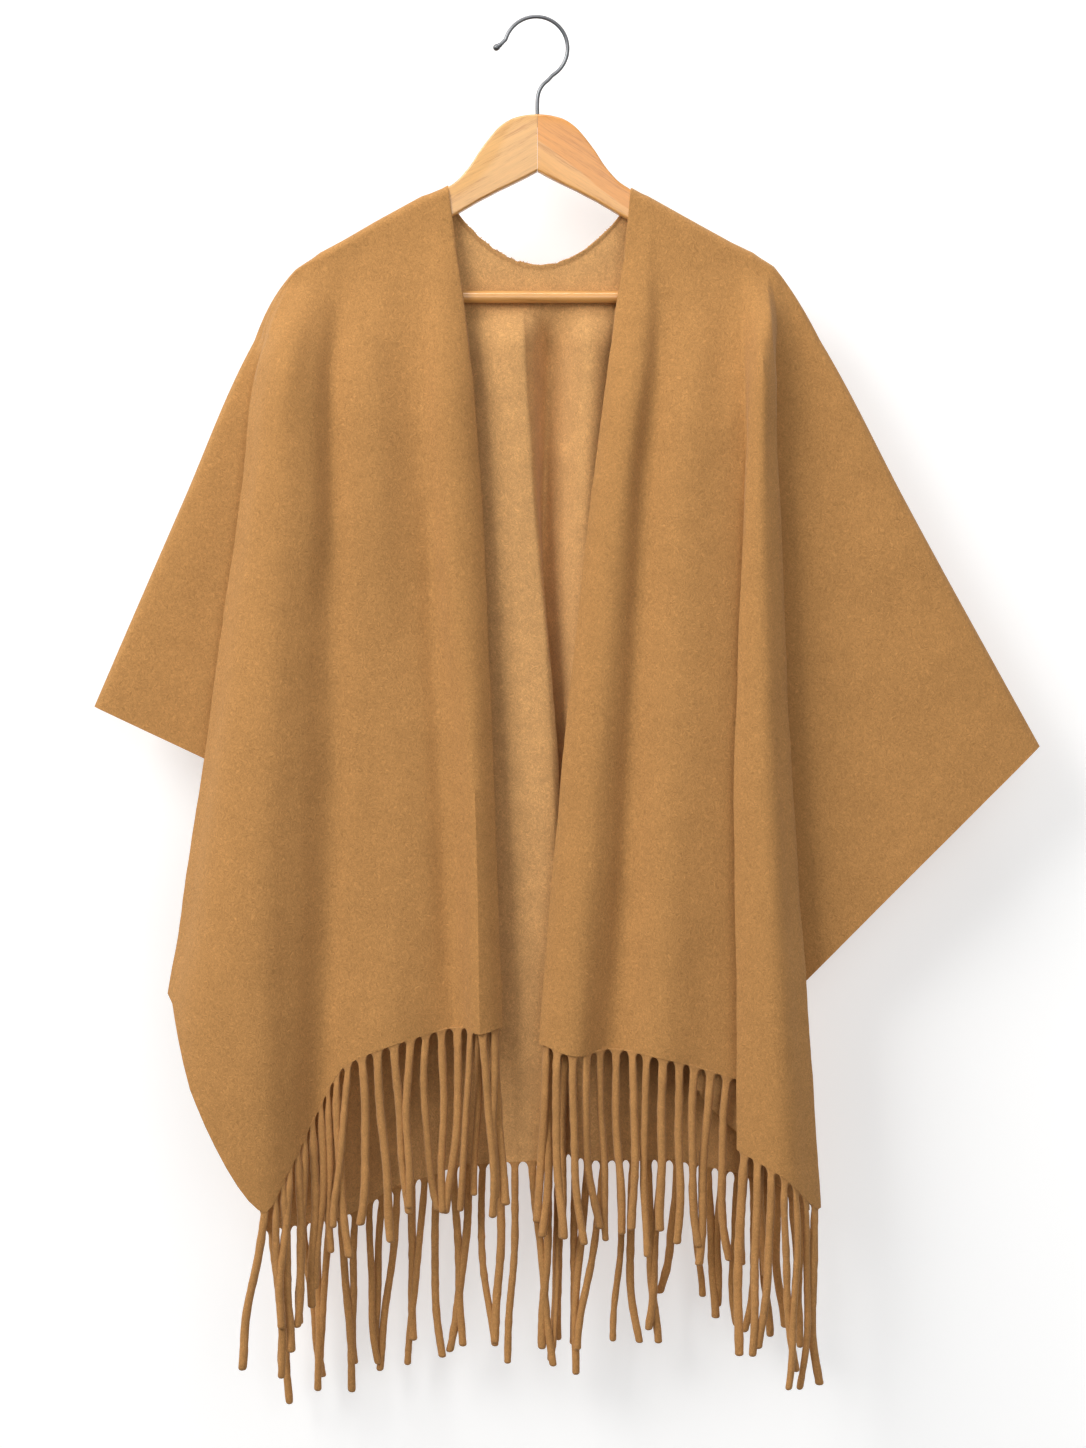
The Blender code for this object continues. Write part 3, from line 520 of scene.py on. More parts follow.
def control_at(panel, control, drops, lean):
    """(x, y) of one line at those drops. lean is the sine of the angle round the arm there."""
    fold = control.fold
    on_seam = fold.name == "wing_fold"
    seat = abs(fold.turn) if on_seam and control.flank else fold.seat
    lower = smoothstep((drops - KNOTS[1]) / (KNOTS[3] - KNOTS[1]))
    depth = fold.y_up + (fold.y_low - fold.y_up) * lower
    if on_seam:
        depth = panel.side * seat
    leaves = BAR_DROP if panel.side > 0 else edge_drop(panel, fold.start) + WRAP_Z
    grown = smoothstep((drops - leaves) / fold.ease)
    x = fold_x(panel, fold, drops)
    y = panel.side * (SEAM_Y + (seat - SEAM_Y) * lean) + grown * (depth - panel.side * seat)
    if control.flank:
        turned = grown if on_seam else grown * folded_share(panel, control, drops)
        x = x + turned * fold.turn + (1 - turned) * control.flank * control.outward
        if not on_seam:
            parted = FLANK_DEPTH * grown + (1 - FLANK_DEPTH) * turned
            y = y + parted * control.flank * control.order * abs(fold.turn)
    return np.stack([x, y], axis=-1)


def columns_of(controls, panel):
    """Columns along the panel, evenly spaced at a drop of 700 but for the neckline's."""
    drop = np.array([KNOTS[2]])
    places = [control_at(panel, control, drop, np.ones(1))[0] for control in controls]
    columns = []
    for span in range(len(controls) - 1):
        length = math.dist(places[span], places[span + 1])
        in_neck = panel.side > 0 and abs(controls[span].fold.start - NECK_MIDDLE) < NECK_HALF
        count = max(1, round(length / (NECK_SPACING if in_neck else COLUMN_SPACING)))
        if controls[span].fold.name == controls[span + 1].fold.name == "neck_corner":
            count = NECK_COLUMNS
        columns += [Column(span, k / count) for k in range(count)]
    return columns + [Column(len(controls) - 2, 1.0)]


def through(points, share):
    """The point at this share between the middle two of four, on a curve paced by distance."""
    before, first, second, after = points
    steps = [end - start for start, end in zip(points, points[1:])]
    lengths = [np.linalg.norm(step, axis=-1, keepdims=True) for step in steps]
    gap_a, gap_b, gap_c = [length**0.5 + 1e-6 for length in lengths]
    mid = (second - first) / gap_b
    slope_a = (first - before) / gap_a
    slope_c = (after - second) / gap_c
    tangent_1 = (slope_a * gap_b + mid * gap_a) / (gap_a + gap_b) * gap_b
    tangent_2 = (slope_c * gap_b + mid * gap_c) / (gap_b + gap_c) * gap_b
    return cubic(share, first, second, tangent_1, tangent_2)


def row_drops(panel, start_x, end):
    """Drops of one column's points and the sine of the angle round the arm at each."""
    crest = crest_drop(start_x)
    start = edge_drop(panel, start_x)
    first_angle = math.acos(max(0.0, 1 - (start - crest) / WRAP_Z))
    share = np.arange(WRAP_ROWS + 1) / WRAP_ROWS
    angle = first_angle + (math.pi / 2 - first_angle) * share
    flat = NECK_FLAT * first_angle / (math.pi / 2)
    wrapped = start + WRAP_Z * (math.cos(first_angle) - np.cos(angle)) + flat * share
    to_bar = BAR_DROP + BAR_RADIUS - wrapped[-1]
    bar = wrapped[-1] + to_bar * np.arange(1, BAR_ROWS + 1) / BAR_ROWS
    hanging = bar[-1] + (end - bar[-1]) * (np.arange(1, HANGING_ROWS + 1) / HANGING_ROWS)
    drops = np.concatenate([wrapped, bar, hanging])
    lean = np.concatenate([np.sin(angle), np.ones(BAR_ROWS + HANGING_ROWS)])
    return drops, lean


def selvage_drop(panel, near, share):
    """Where a column of a wing meets the wing's straight selvage."""
    selvage = LEFT_SELVAGE if near[1].fold.start < 0 else RIGHT_SELVAGE
    drops = np.linspace(*selvage.reach, SELVAGE_STEPS)
    ones = np.ones(len(drops))
    x = through([control_at(panel, control, drops, ones) for control in near], share)[:, 0]
    line = selvage.corner_drop + selvage.fall * np.abs(selvage.corner_x - x)
    return float(np.interp(0.0, drops - line, drops))


def panel_grid(panel, controls):
    """The panel's middle surface as rows by columns of points, and the columns."""
    columns = columns_of(controls, panel)
    grid = []
    for column in columns:
        first = controls[column.span]
        second = controls[column.span + 1]
        share = column.share
        start_x = control_start(first) * (1 - share) + control_start(second) * share
        near = [controls[min(max(column.span + k, 0), len(controls) - 1)] for k in (-1, 0, 1, 2)]
        end = hem_drop(near, share)
        if {first.fold.name, second.fold.name} <= {"hidden_valley", "wing_middle", "wing_fold"}:
            end = selvage_drop(panel, near, share)
        drops, lean = row_drops(panel, start_x, end)
        points = through([control_at(panel, control, drops, lean) for control in near], share)
        miss = start_x - points[0, 0]
        points[:, 0] += miss * (1 - smoothstep((drops - drops[0]) / KNOTS[0]))
        grid.append(np.column_stack([points, -drops]))
    return np.array(grid).transpose(1, 0, 2), columns


def seam_normals(border, beside):
    """Unit normals along a seam, in the seam's plane and on the side of the normals beside it."""
    run = np.gradient(border, axis=0)
    normal = unit(np.column_stack([run[:, 2], np.zeros(len(run)), -run[:, 0]]))
    return normal * np.where(np.sum(normal * beside, axis=1) < 0, -1.0, 1.0)[:, None]


def grid_normals(grid):
    """Unit normals of the middle surface."""
    normal = unit(np.cross(np.gradient(grid, axis=0), np.gradient(grid, axis=1)))
    on_crest = np.abs(grid[0, :, 1]) < ON_SEAM
    normal[0, on_crest] = seam_normals(grid[0], normal[1])[on_crest]
    for column, beside in ((0, 1), (-1, -2)):
        if abs(grid[-1, column, 1]) < ON_SEAM:
            fold = seam_normals(grid[:, column], normal[:, beside])
            fold[0] = (fold[1] + normal[0, beside]) / 2
            normal[:, column] = unit(fold)
    return normal


def wall_thickness(grid):
    """The cloth's thickness at each point, less where its folds gather at an arm's end."""
    out = np.abs(grid[0, :, 0])
    corner = 1.0 - smoothstep((np.abs(out - NECK_HALF) - PINCH_WIDTH) / PINCH_WIDTH)
    gathered = np.maximum(smoothstep((out - PINCH_START) / PINCH_WIDTH), corner)
    falling = 1.0 - smoothstep((-grid[..., 2] - BAR_DROP) / PINCH_FADE)
    return (CLOTH - (CLOTH - PINCHED_CLOTH) * gathered[None, :] * falling)[..., None]


def soft_noise(points, size, seed):
    """Smooth noise about zero at each point, with lumps of this size."""
    shift = Vector((seed * 7.3, seed * 3.1, seed * 5.7))
    flat = points.reshape(-1, 3)
    values = [noise.noise(Vector(point) / size + shift) for point in flat]
    return np.array(values).reshape(points.shape[:-1])


def crease_heights(grid, layers, panel):
    """How far each point moves along its normal for the listed creases of its layer."""
    height = np.zeros(grid.shape[:2])
    here = [(key[1], crease) for key in CREASES if key[0] == panel.name for crease in CREASES[key]]
    for layer, crease in here:
        top = np.array([crease.x_top, -crease.drop_top], float)
        low = np.array([crease.x_low, -crease.drop_low], float)
        run = low - top
        length = np.linalg.norm(run)
        run /= length
        offset = grid[..., [0, 2]] - top
        along = offset @ run / length
        across = offset[..., 0] * run[1] - offset[..., 1] * run[0]
        ends = smoothstep(along / CREASE_ENDS) * smoothstep((1 - along) / CREASE_ENDS)
        bump = crease.height * ends * np.exp(-((across / crease.width) ** 2))
        height += bump * (layers == layer)[None, :]
    return height


def layers_of(columns, controls):
    """For each column, whether it is on the body of the panel, in the hidden fold, or on a wing."""
    names = [control.fold.name for control in controls]
    inside = [i for i, name in enumerate(names) if name in ("outer_fold", "hidden_valley")]
    two_wings = names[0] == "wing_fold"
    half = len(names) / 2
    made = []
    for column in columns:
        place = column.span + column.share
        wing_first = two_wings and place < half
        near = [i for i in inside if not two_wings or (i < half) == wing_first]
        if min(near) <= place <= max(near):
            made.append("hidden")
        else:
            made.append("wing" if (place < min(near)) == wing_first else "body")
    return np.array(made)


def lipped(grid):
    """The neckline's raw edge curled a little towards the front."""
    top = grid[0]
    in_neck = np.abs(top[:, 0] - NECK_MIDDLE) < NECK_HALF - LIP_INSET
    fallen = -(grid[..., 2] - top[None, :, 2])
    curl = (1 - smoothstep(fallen / LIP_HEIGHT)) * in_neck[None, :]
    wide = 1 + LIP_LEFT * smoothstep((LIP_LEFT_START - top[:, 0]) / LIP_LEFT_WIDTH)
    grid[..., 1] -= LIP_DEPTH * wide[None, :] * curl
    ragged = soft_noise(top, RAGGED_SIZE, 3)
    grid[0, :, 2] += np.where(in_neck, ragged * LIP_RAGGED, 0.0)
    return grid


def fine_panel(panel):
    """The panel's creased middle surface, its normals, its columns and its lines."""
    controls = controls_of(panel)
    grid, columns = panel_grid(panel, controls)
    if panel.side > 0:
        grid = lipped(grid)
    normals = grid_normals(grid)
    height = crease_heights(grid, layers_of(columns, controls), panel)
    height += LUMP_HEIGHT * soft_noise(grid, LUMP_SIZE, 1)
    height += FELT_HEIGHT * soft_noise(grid, FELT_SIZE, 2)
    off_seam = np.minimum(1.0, np.abs(grid[..., 1]) / SEAM_FADE)
    top = np.minimum(-grid[0, :, 2], BAR_DROP)[None, :]
    off_arm = smoothstep((-grid[..., 2] - top - ARM_CLEAR) / ARM_FADE)
    outward = np.sign(np.mean(normals[..., 1]) * panel.side)
    grid = grid + normals * (outward * height * off_seam * off_arm)[..., None]
    return grid, grid_normals(grid), columns, controls


def cloth_piece(panel, grid, normals):
    """A closed thin wall round the middle surface, its free edges rounded."""
    rows, columns = grid.shape[:2]
    half = wall_thickness(grid) / 2
    outer = (grid + normals * half).reshape(-1, 3)
    inner = (grid - normals * half).reshape(-1, 3)
    count = rows * columns
    index = np.arange(count).reshape(rows, columns)
    a, b = index[:-1, :-1].ravel(), index[1:, :-1].ravel()
    d, e = index[1:, 1:].ravel(), index[:-1, 1:].ravel()
    quads = np.concatenate([np.stack([a, b, d, e], 1), count + np.stack([e, d, b, a], 1)])
    border = np.concatenate([index[:, 0], index[-1, 1:], index[-2::-1, -1], index[0, -2:0:-1]])
    away = unit(np.concatenate([
        grid[:, 0] - grid[:, 1],
        grid[-1, 1:] - grid[-2, 1:],
        grid[-2::-1, -1] - grid[-2::-1, -2],
        grid[0, -2:0:-1] - grid[1, -2:0:-1],
    ]))
    points = grid.reshape(-1, 3)[border]
    on_hem = np.isin(border, index[-1])
    free = (np.abs(points[:, 1]) > 1.0) & ~on_hem
    rim = points + away * free[:, None] * EDGE_BULGE
    after = np.roll(border, -1)
    rim_index = 2 * count + np.arange(len(border))
    rim_after = np.roll(rim_index, -1)
    caps = np.concatenate([
        np.stack([after, border, rim_index, rim_after], 1),
        np.stack([rim_after, rim_index, count + border, count + after], 1),
    ])
    faces = np.concatenate([quads, caps]).tolist()
    points = np.concatenate([outer, inner, rim])
    looks = LOOKS["wool"], LOOKS["wool_inside"]
    made = mesh_object(panel.name + "_cloth", points, faces, *looks)
    skin = np.zeros(len(made.data.polygons), dtype=np.int32)
    first = len(a) if np.mean(normals[..., 1]) * panel.side > 0 else 0
    skin[first : first + len(a)] = 1
    made.data.polygons.foreach_set("material_index", skin)
    made.data.set_sharp_from_angle(angle=math.radians(RIM_DEGREES))
    return made


def linked(name, data):
    made = bpy.data.objects.new(name, data)
    bpy.context.scene.collection.objects.link(made)
    return made


def mesh_object(name, points, faces, *looks):
    """A smooth-shaded object from points in millimetres, its faces turned outwards."""
    mesh = bpy.data.meshes.new(name)
    mesh.from_pydata((np.asarray(points) * MM).tolist(), [], faces)
    work = bmesh.new()
    work.from_mesh(mesh)
    bmesh.ops.recalc_face_normals(work, faces=work.faces)
    work.to_mesh(mesh)
    work.free()
    mesh.shade_smooth()
    for look in looks:
        mesh.materials.append(look)
    return linked(name, mesh)


def hem_cells(fringe, grid, normals, columns, controls):
    """Points and level normals at even steps along the hem that carries the fringe."""
    spans = [column.span + column.share for column in columns]
    lines = [(control.fold.name, control.flank) for control in controls]
    first = spans.index(lines.index(fringe.first))
    last = spans.index(len(lines) - 1 - lines[::-1].index(fringe.last))
    points = grid[-1, first : last + 1]
    level = normals[-1, first : last + 1].copy()
    level[:, 2] = 0.0
    steps = np.linalg.norm(np.diff(points, axis=0), axis=1)
    lengths = np.concatenate([[0.0], np.cumsum(steps)])
    count = round(lengths[-1] / STRAND_PITCH)
    along = np.linspace(0.0, lengths[-1], count + 1)
    draw = random.Random(fringe.name)
    along[1:-1] += [draw.uniform(-1, 1) * PITCH_JITTER for _ in range(count - 1)]
    hem, facing = [
        np.column_stack([np.interp(along, lengths, values[:, k]) for k in range(3)])
        for values in (points, level)
    ]
    return hem, unit(facing)


def strand_drops(length):
    """Depths below the hem at which a strand gets a ring, closer in its flared root and its tip."""
    body = np.arange(ROOT_DROPS[-1] + RING_STEP, length - TIP_DROPS[-1], RING_STEP)
    tip = length - np.array(TIP_DROPS[::-1])
    return np.concatenate([ROOT_DROPS, body, tip])


def strand_widths(drops, length, pitch, draw):
    """Half the width and thickness of a strand at each depth, and how square its section is."""
    share = np.clip(drops / ARCH_HEIGHT, 0.0, 1.0)
    arch = np.sqrt(1.0 - (1.0 - share) ** 2)
    radius = STRAND_RADIUS * draw.uniform(*RADIUS_SPREAD)
    seed = draw.uniform(0, 50)
    lumps = np.array([noise.noise((seed, drop / LUMPS[0], 0)) for drop in drops])
    fine = np.array([noise.noise((seed, drop / FINE_LUMPS[0], 9)) for drop in drops])
    body = radius * (1 + LUMPS[1] * lumps + FINE_LUMPS[1] * fine)
    wide = pitch / 2 - (pitch / 2 - body) * arch
    rounder = smoothstep(drops / ROOT_HEIGHT)
    thick = ROOT_HALF + (FLATNESS * body - ROOT_HALF) * rounder
    left = np.clip((length - drops) / TIP_DROPS[-1], 0.0, 1.0)
    tip = np.sqrt(np.maximum(TIP_LEAST, 1 - (1 - left) ** TIP_POWER))
    return wide * tip, thick * tip, 4.0 - 2.0 * rounder


def strand_rings(left, right, facing, fringe, draw):
    """The rings of one felted strand, from just inside the hem down to its blunt tip."""
    middle = (left + right) / 2
    along_hem = right - left
    pitch = np.linalg.norm(along_hem)
    along_hem /= pitch
    level = unit(along_hem * (1, 1, 0))
    length = np.interp(middle[0], *zip(*fringe.lengths))
    length += draw.uniform(-1, 1) * LENGTH_SPREAD / 2
    lean = draw.gauss(0, fringe.lean)
    bow = draw.uniform(-1, 1) * BOW
    turn = draw.uniform(0, math.tau)
    depth = draw.uniform(-1, 1) * DEPTH_SPREAD
    drops = strand_drops(length)
    wide, thick, square = strand_widths(drops, length, pitch, draw)
    angles = np.arange(STRAND_SIDES) * math.tau / STRAND_SIDES
    rings = []
    for drop, half_wide, half_thick, power in zip(drops, wide, thick, square):
        share = max(drop, 0.0) / length
        settled = float(smoothstep(drop / LEVEL_HEIGHT))
        eased = share * share * (1.6 - 0.6 * share)
        side = lean * eased + bow * math.sin(math.pi * share)
        side += WIGGLE * share * math.sin(share * WIGGLE_TURNS[0] + turn)
        out = depth * math.sin(math.pi / 2 * share)
        out += WIGGLE * share * math.cos(share * WIGGLE_TURNS[1] + turn)
        centre = middle - np.array([0, 0, drop]) + level * side + facing * out
        across = along_hem * (1 - settled) + level * settled
        u = np.sign(np.cos(angles)) * np.abs(np.cos(angles)) ** (2 / power)
        v = np.sign(np.sin(angles)) * np.abs(np.sin(angles)) ** (2 / power)
        ring = centre + across * (u * half_wide)[:, None]
        rings.append(ring + facing * (v * half_thick)[:, None])
    return rings


def tube_faces(base, rings, sides):
    """Side faces and both end caps of rings stored one after another from base."""
    faces = []
    for ring in range(rings - 1):
        low = base + ring * sides
        for k in range(sides):
            n = (k + 1) % sides
            faces.append((low + k, low + n, low + sides + n, low + sides + k))
    faces.append(tuple(range(base + sides - 1, base - 1, -1)))
    last = base + (rings - 1) * sides
    faces.append(tuple(range(last, last + sides)))
    return faces


def fringe_piece(fringe, grid, normals, columns, controls):
    """The strands of one fringe, side by side along its hem."""
    hem, facing = hem_cells(fringe, grid, normals, columns, controls)
    draw = random.Random(fringe.name + " strands")
    points, faces = [], []
    for cell in range(len(hem) - 1):
        outwards = unit(facing[cell] + facing[cell + 1])
        rings = strand_rings(hem[cell], hem[cell + 1], outwards, fringe, draw)
        faces += tube_faces(len(points) * STRAND_SIDES, len(rings), STRAND_SIDES)
        points += rings
    points = np.concatenate(points)
    return mesh_object(fringe.name + "_strands", points, faces, LOOKS["wool_strand"])


def neck_tufts(grid):
    """Short frayed ends along the neckline's raw edge."""
    draw = random.Random("neck")
    edge = grid[0][np.abs(grid[0, :, 0] - NECK_MIDDLE) < NECK_HALF - TUFT_INSET]
    edge = edge[np.argsort(edge[:, 0])]
    points, faces = [], []
    for _ in range(TUFTS):
        at = draw.uniform(0, len(edge) - 1)
        root = np.array([np.interp(at, np.arange(len(edge)), edge[:, k]) for k in range(3)])
        root[2] -= TUFT_SINK
        way = [draw.gauss(0, 0.9), draw.gauss(-0.5, 0.5), draw.uniform(0.1, 1.0)]
        way = unit(np.array(way))
        side = unit(np.cross(way, (0, 1, 0.3)))
        third = np.cross(way, side)
        length = draw.uniform(*TUFT_LENGTH)
        radius = draw.uniform(*TUFT_RADIUS)
        bend = side * draw.uniform(-0.6, 0.6)
        base = len(points)
        for share, narrow in TUFT_PROFILE:
            centre = root + (way * share + bend * share * share) * length
            for k in range(TUFT_SIDES):
                angle = math.tau * k / TUFT_SIDES
                spoke = side * math.cos(angle) + third * math.sin(angle)
                points.append(centre + spoke * radius * narrow)
        faces += tube_faces(base, len(TUFT_PROFILE), TUFT_SIDES)
    return mesh_object("neck_frayed_edge", np.array(points), faces, LOOKS["wool_inside"])


def swept(name, rings, look, sides):
    """A closed tube through the rings."""
    return mesh_object(name, np.concatenate(rings), tube_faces(0, len(rings), sides), look)


def arm_piece(name, side, look):
    """One half of the hanger's board: flat faces, rounded edges and a swan neck."""
    outs, tops, unders, halves = zip(*ARM_STATIONS)
    board = np.arange(0.1, BOARD_TIP, BOARD_STEP)
    places = np.unique(np.concatenate([board, np.linspace(BOARD_TIP, outs[-1], TIP_STEPS)]))
    edges = smooth_curve(outs, tops, places), smooth_curve(outs, unders, places)
    rings = []
    for out, top, under, half in zip(places, *edges, np.interp(places, outs, halves)):
        corner = min(BOARD_CORNER, half * 0.9, (under - top) * 0.4)
        ring = []
        for sign_y, sign_z, first in ((1, 1, 0), (-1, 1, 1), (-1, -1, 2), (1, -1, 3)):
            middle = (top + corner) if sign_z > 0 else (under - corner)
            for step in range(CORNER_STEPS + 1):
                angle = math.pi / 2 * (first + step / CORNER_STEPS)
                ring.append((
                    HANGER_X + side * out,
                    sign_y * (half - corner) + corner * math.cos(angle),
                    -middle + corner * math.sin(angle),
                ))
        rings.append(np.array(ring))
    made = swept(name, rings, look, 4 * (CORNER_STEPS + 1))
    made.data.set_sharp_from_angle(angle=math.radians(BOARD_SHARP))
    return made


def hook_piece():
    """The chrome wire: ball tip with its collar, bend, swan neck and stem."""
    bend_z = WIRE_RADIUS - HOOK_RADIUS
    path = list(HOOK_TIP)
    for step in range(BEND_STEPS + 1):
        angle = math.radians(BEND_FROM - BEND_TURN * step / BEND_STEPS)
        x = BEND_X + HOOK_RADIUS * math.cos(angle)
        path.append((x, bend_z + HOOK_RADIUS * math.sin(angle), WIRE_RADIUS))
    knots = [path[-3][:2], path[-1][:2]] + [(x, -drop) for x, drop in SWAN_NECK]
    for before, first, second, after in zip(knots, knots[1:], knots[2:], knots[3:] + [knots[-1]]):
        near = [np.array(point, float) for point in (before, first, second, after)]
        for step in range(1, SWAN_STEPS + 1):
            path.append((*through(near, step / SWAN_STEPS), WIRE_RADIUS))
    path = np.array(path)
    run = unit(np.gradient(path[:, :2], axis=0))
    angles = np.arange(WIRE_SIDES) * math.tau / WIRE_SIDES
    rings = []
    for (x, z, radius), (run_x, run_z) in zip(path, run):
        off = radius * np.cos(angles)
        rings.append(np.column_stack([x - run_z * off, radius * np.sin(angles), z + run_x * off]))
    return swept("hook_wire", rings, LOOKS["chrome"], WIRE_SIDES)


def bar_piece():
    """The round trouser bar."""
    angles = np.arange(BAR_SIDES) * math.tau / BAR_SIDES
    rings = []
    for x in np.linspace(-BAR_HALF, BAR_HALF, BAR_RINGS):
        rings.append(np.column_stack([
            np.full(BAR_SIDES, HANGER_X + x),
            BAR_RADIUS * np.cos(angles),
            -BAR_DROP + BAR_RADIUS * np.sin(angles),
        ]))
    made = swept("trouser_bar", rings, LOOKS["bar_wood"], BAR_SIDES)
    made.data.set_sharp_from_angle(angle=math.radians(BAR_SHARP))
    return made


class Nodes:
    """Short calls for building the nodes of one material, or of the world."""

    def __init__(self, owner):
        owner.use_nodes = True
        self.owner = owner
        self.tree = owner.node_tree
        self.shader = self.tree.nodes.get("Principled BSDF")

    def fill(self, node, inputs):
        """Links each socket given to its input, and sets the other inputs to their values."""
        for key, value in dict(inputs).items():
            if isinstance(value, bpy.types.NodeSocket):
                self.tree.links.new(value, node.inputs[key])
            else:
                node.inputs[key].default_value = value

    def add(self, kind, inputs=(), **settings):
        node = self.tree.nodes.new(kind)
        for key, value in settings.items():
            setattr(node, key, value)
        self.fill(node, inputs)
        return node

    def surface(self, inputs):
        self.fill(self.shader, inputs)

    def place(self, stretch=(1, 1, 1), turn=(0, 0, 0)):
        """Object coordinates, in metres, turned and then stretched."""
        where = self.add("ShaderNodeTexCoord").outputs["Object"]
        return self.stretched(where, stretch, turn)

    def stretched(self, where, stretch, turn=(0, 0, 0)):
        inputs = {"Vector": where, "Scale": stretch, "Rotation": turn}
        return self.add("ShaderNodeMapping", inputs, vector_type="TEXTURE").outputs[0]

    def noise(self, where, size, detail=3.0, rough=0.5, twist=0.0):
        """Noise about 0.5, with grains of about this size in metres."""
        inputs = {"Vector": where, "Scale": 1.0 / size}
        inputs.update({"Detail": detail, "Roughness": rough, "Distortion": twist})
        return self.add("ShaderNodeTexNoise", inputs).outputs["Fac"]

    def ramp(self, fac, stops):
        node = self.add("ShaderNodeValToRGB", {"Fac": fac})
        ramp = node.color_ramp
        while len(ramp.elements) < len(stops):
            ramp.elements.new(0.5)
        for element, (place, colour) in zip(ramp.elements, stops):
            element.position = place
            element.color = (*colour, 1.0)
        return node.outputs["Color"]

    def multiply(self, fac, first, second):
        inputs = {0: fac, 6: first, 7: second}
        mixed = self.add("ShaderNodeMix", inputs, data_type="RGBA", blend_type="MULTIPLY")
        return mixed.outputs[2]

    def math(self, operation, *values):
        return self.add("ShaderNodeMath", enumerate(values), operation=operation).outputs[0]

    def vector(self, operation, inputs):
        return self.add("ShaderNodeVectorMath", inputs, operation=operation).outputs[0]

    def mix_shaders(self, fac, first, second, output):
        mixed = self.add("ShaderNodeMixShader", {0: fac, 1: first, 2: second})
        self.fill(self.tree.nodes[output], {"Surface": mixed.outputs[0]})

    def bump(self, height, strength, distance):
        inputs = {"Height": height, "Strength": strength, "Distance": distance}
        self.surface({"Normal": self.add("ShaderNodeBump", inputs).outputs["Normal"]})


def wool_look(name, base, mottle, streaks):
    """Brushed wool: curly short nap as streaks of light and bump, and a soft sheen."""
    n = Nodes(bpy.data.materials.new(name))
    where = n.place()
    inputs = {"Vector": where, "Scale": 1 / CURL_SIZE, "Detail": 1.0}
    curl = n.add("ShaderNodeTexNoise", inputs).outputs["Color"]
    centred = n.vector("SUBTRACT", {0: curl, 1: (0.5, 0.5, 0.5)})
    bent = n.vector("ADD", {0: where, 1: n.vector("SCALE", {0: centred, "Scale": CURL_SHIFT})})
    strands = []
    for turn in NAP_TURNS:
        streaked = n.stretched(bent, (1.0, 1.0, NAP_STRETCH), (0, math.radians(turn), 0))
        strands.append(n.noise(streaked, NAP_SIZE, 2.0, 0.5))
    nap = n.math("MAXIMUM", *strands)
    fuzz = n.noise(where, FUZZ_SIZE, 2.0, 0.6)
    cloud = n.noise(where, CLOUD_SIZE, 3.0, 0.6)
    mixed = n.math("ADD", n.math("MULTIPLY", nap, streaks), n.math("MULTIPLY", fuzz, FUZZ_SHARE))
    mixed = n.math("ADD", mixed, n.math("MULTIPLY", cloud, mottle))
    middle = NAP_MEAN * streaks + 0.5 * (FUZZ_SHARE + mottle)
    dark = tuple(c * DARK_TONE for c in base)
    light = tuple(min(1.0, c * LIGHT_TONE) for c in base)
    tones = ((middle - TONE_SPAN, dark), (middle, base), (middle + TONE_SPAN, light))
    n.surface({
        "Base Color": n.ramp(mixed, tones),
        "Roughness": 0.95,
        "Specular IOR Level": 0.1,
        "Sheen Weight": 0.26,
        "Sheen Roughness": 0.5,
        "Sheen Tint": (0.95, 0.78, 0.58, 1.0),
    })
    n.bump(n.math("ADD", nap, n.math("MULTIPLY", fuzz, 0.3)), 0.6, 0.0011)
    return n.owner


def wood_look(name, pale, dark, turn, split=None):
    """Varnished wood, fine grain along the board. split darkens what is above a sloping line."""
    n = Nodes(bpy.data.materials.new(name))
    made = []
    for grain in GRAINS:
        where = n.place((grain.stretch, 1.0, 1.0), (0, turn, 0))
        made.append(n.noise(where, grain.size, grain.detail, grain.rough, grain.twist))
    lines, band, pores = [n.math("MULTIPLY", fac, grain.share) for fac, grain in zip(made, GRAINS)]
    mixed = n.math("ADD", n.math("ADD", lines, band), pores)
    glossy = tuple(min(1, c * 1.12) for c in pale)
    wood = n.ramp(mixed, ((0.38, dark), (0.47, pale), (0.6, glossy)))
    if split:
        slope, level, tone = split
        xyz = n.add("ShaderNodeSeparateXYZ", {"Vector": n.place()})
        height = n.math("MULTIPLY_ADD", xyz.outputs["X"], slope, xyz.outputs["Z"])
        ragged = n.math("MULTIPLY", n.math("SUBTRACT", made[1], 0.5), SPLIT_RAGGED)
        above = n.math("SUBTRACT", n.math("ADD", height, ragged), level)
        above = n.math("MAXIMUM", n.math("MULTIPLY", above, SPLIT_SHARPNESS), 0)
        wood = n.multiply(n.math("MINIMUM", above, 1), wood, (*tone, 1.0))
    n.surface({"Base Color": wood, "Roughness": 0.4, "Coat Weight": 0.9, "Coat Roughness": 0.12})
    n.bump(made[0], 0.06, 0.0004)
    return n.owner


def chrome_look():
    n = Nodes(bpy.data.materials.new("chrome_plate"))
    n.surface({"Base Color": (0.2, 0.205, 0.215, 1.0), "Metallic": 1.0, "Roughness": 0.34})
    return n.owner


def wall_look():
    """A bright wall that shows only from its front, so that views from behind see the object."""
    n = Nodes(bpy.data.materials.new("studio_wall"))
    glossy = n.add("ShaderNodeLightPath").outputs["Is Glossy Ray"]
    n.surface({
        "Base Color": (*WALL_PAINT, 1.0),
        "Roughness": 1.0,
        "Specular IOR Level": 0.0,
        "Emission Color": (1.0, 1.0, 1.0, 1.0),
        "Emission Strength": n.math("MULTIPLY_ADD", glossy, -WALL_GLOW, WALL_GLOW),
    })
    behind = n.add("ShaderNodeNewGeometry").outputs["Backfacing"]
    clear = n.add("ShaderNodeBsdfTransparent").outputs[0]
    n.mix_shaders(behind, n.shader.outputs[0], clear, "Material Output")
    return n.owner


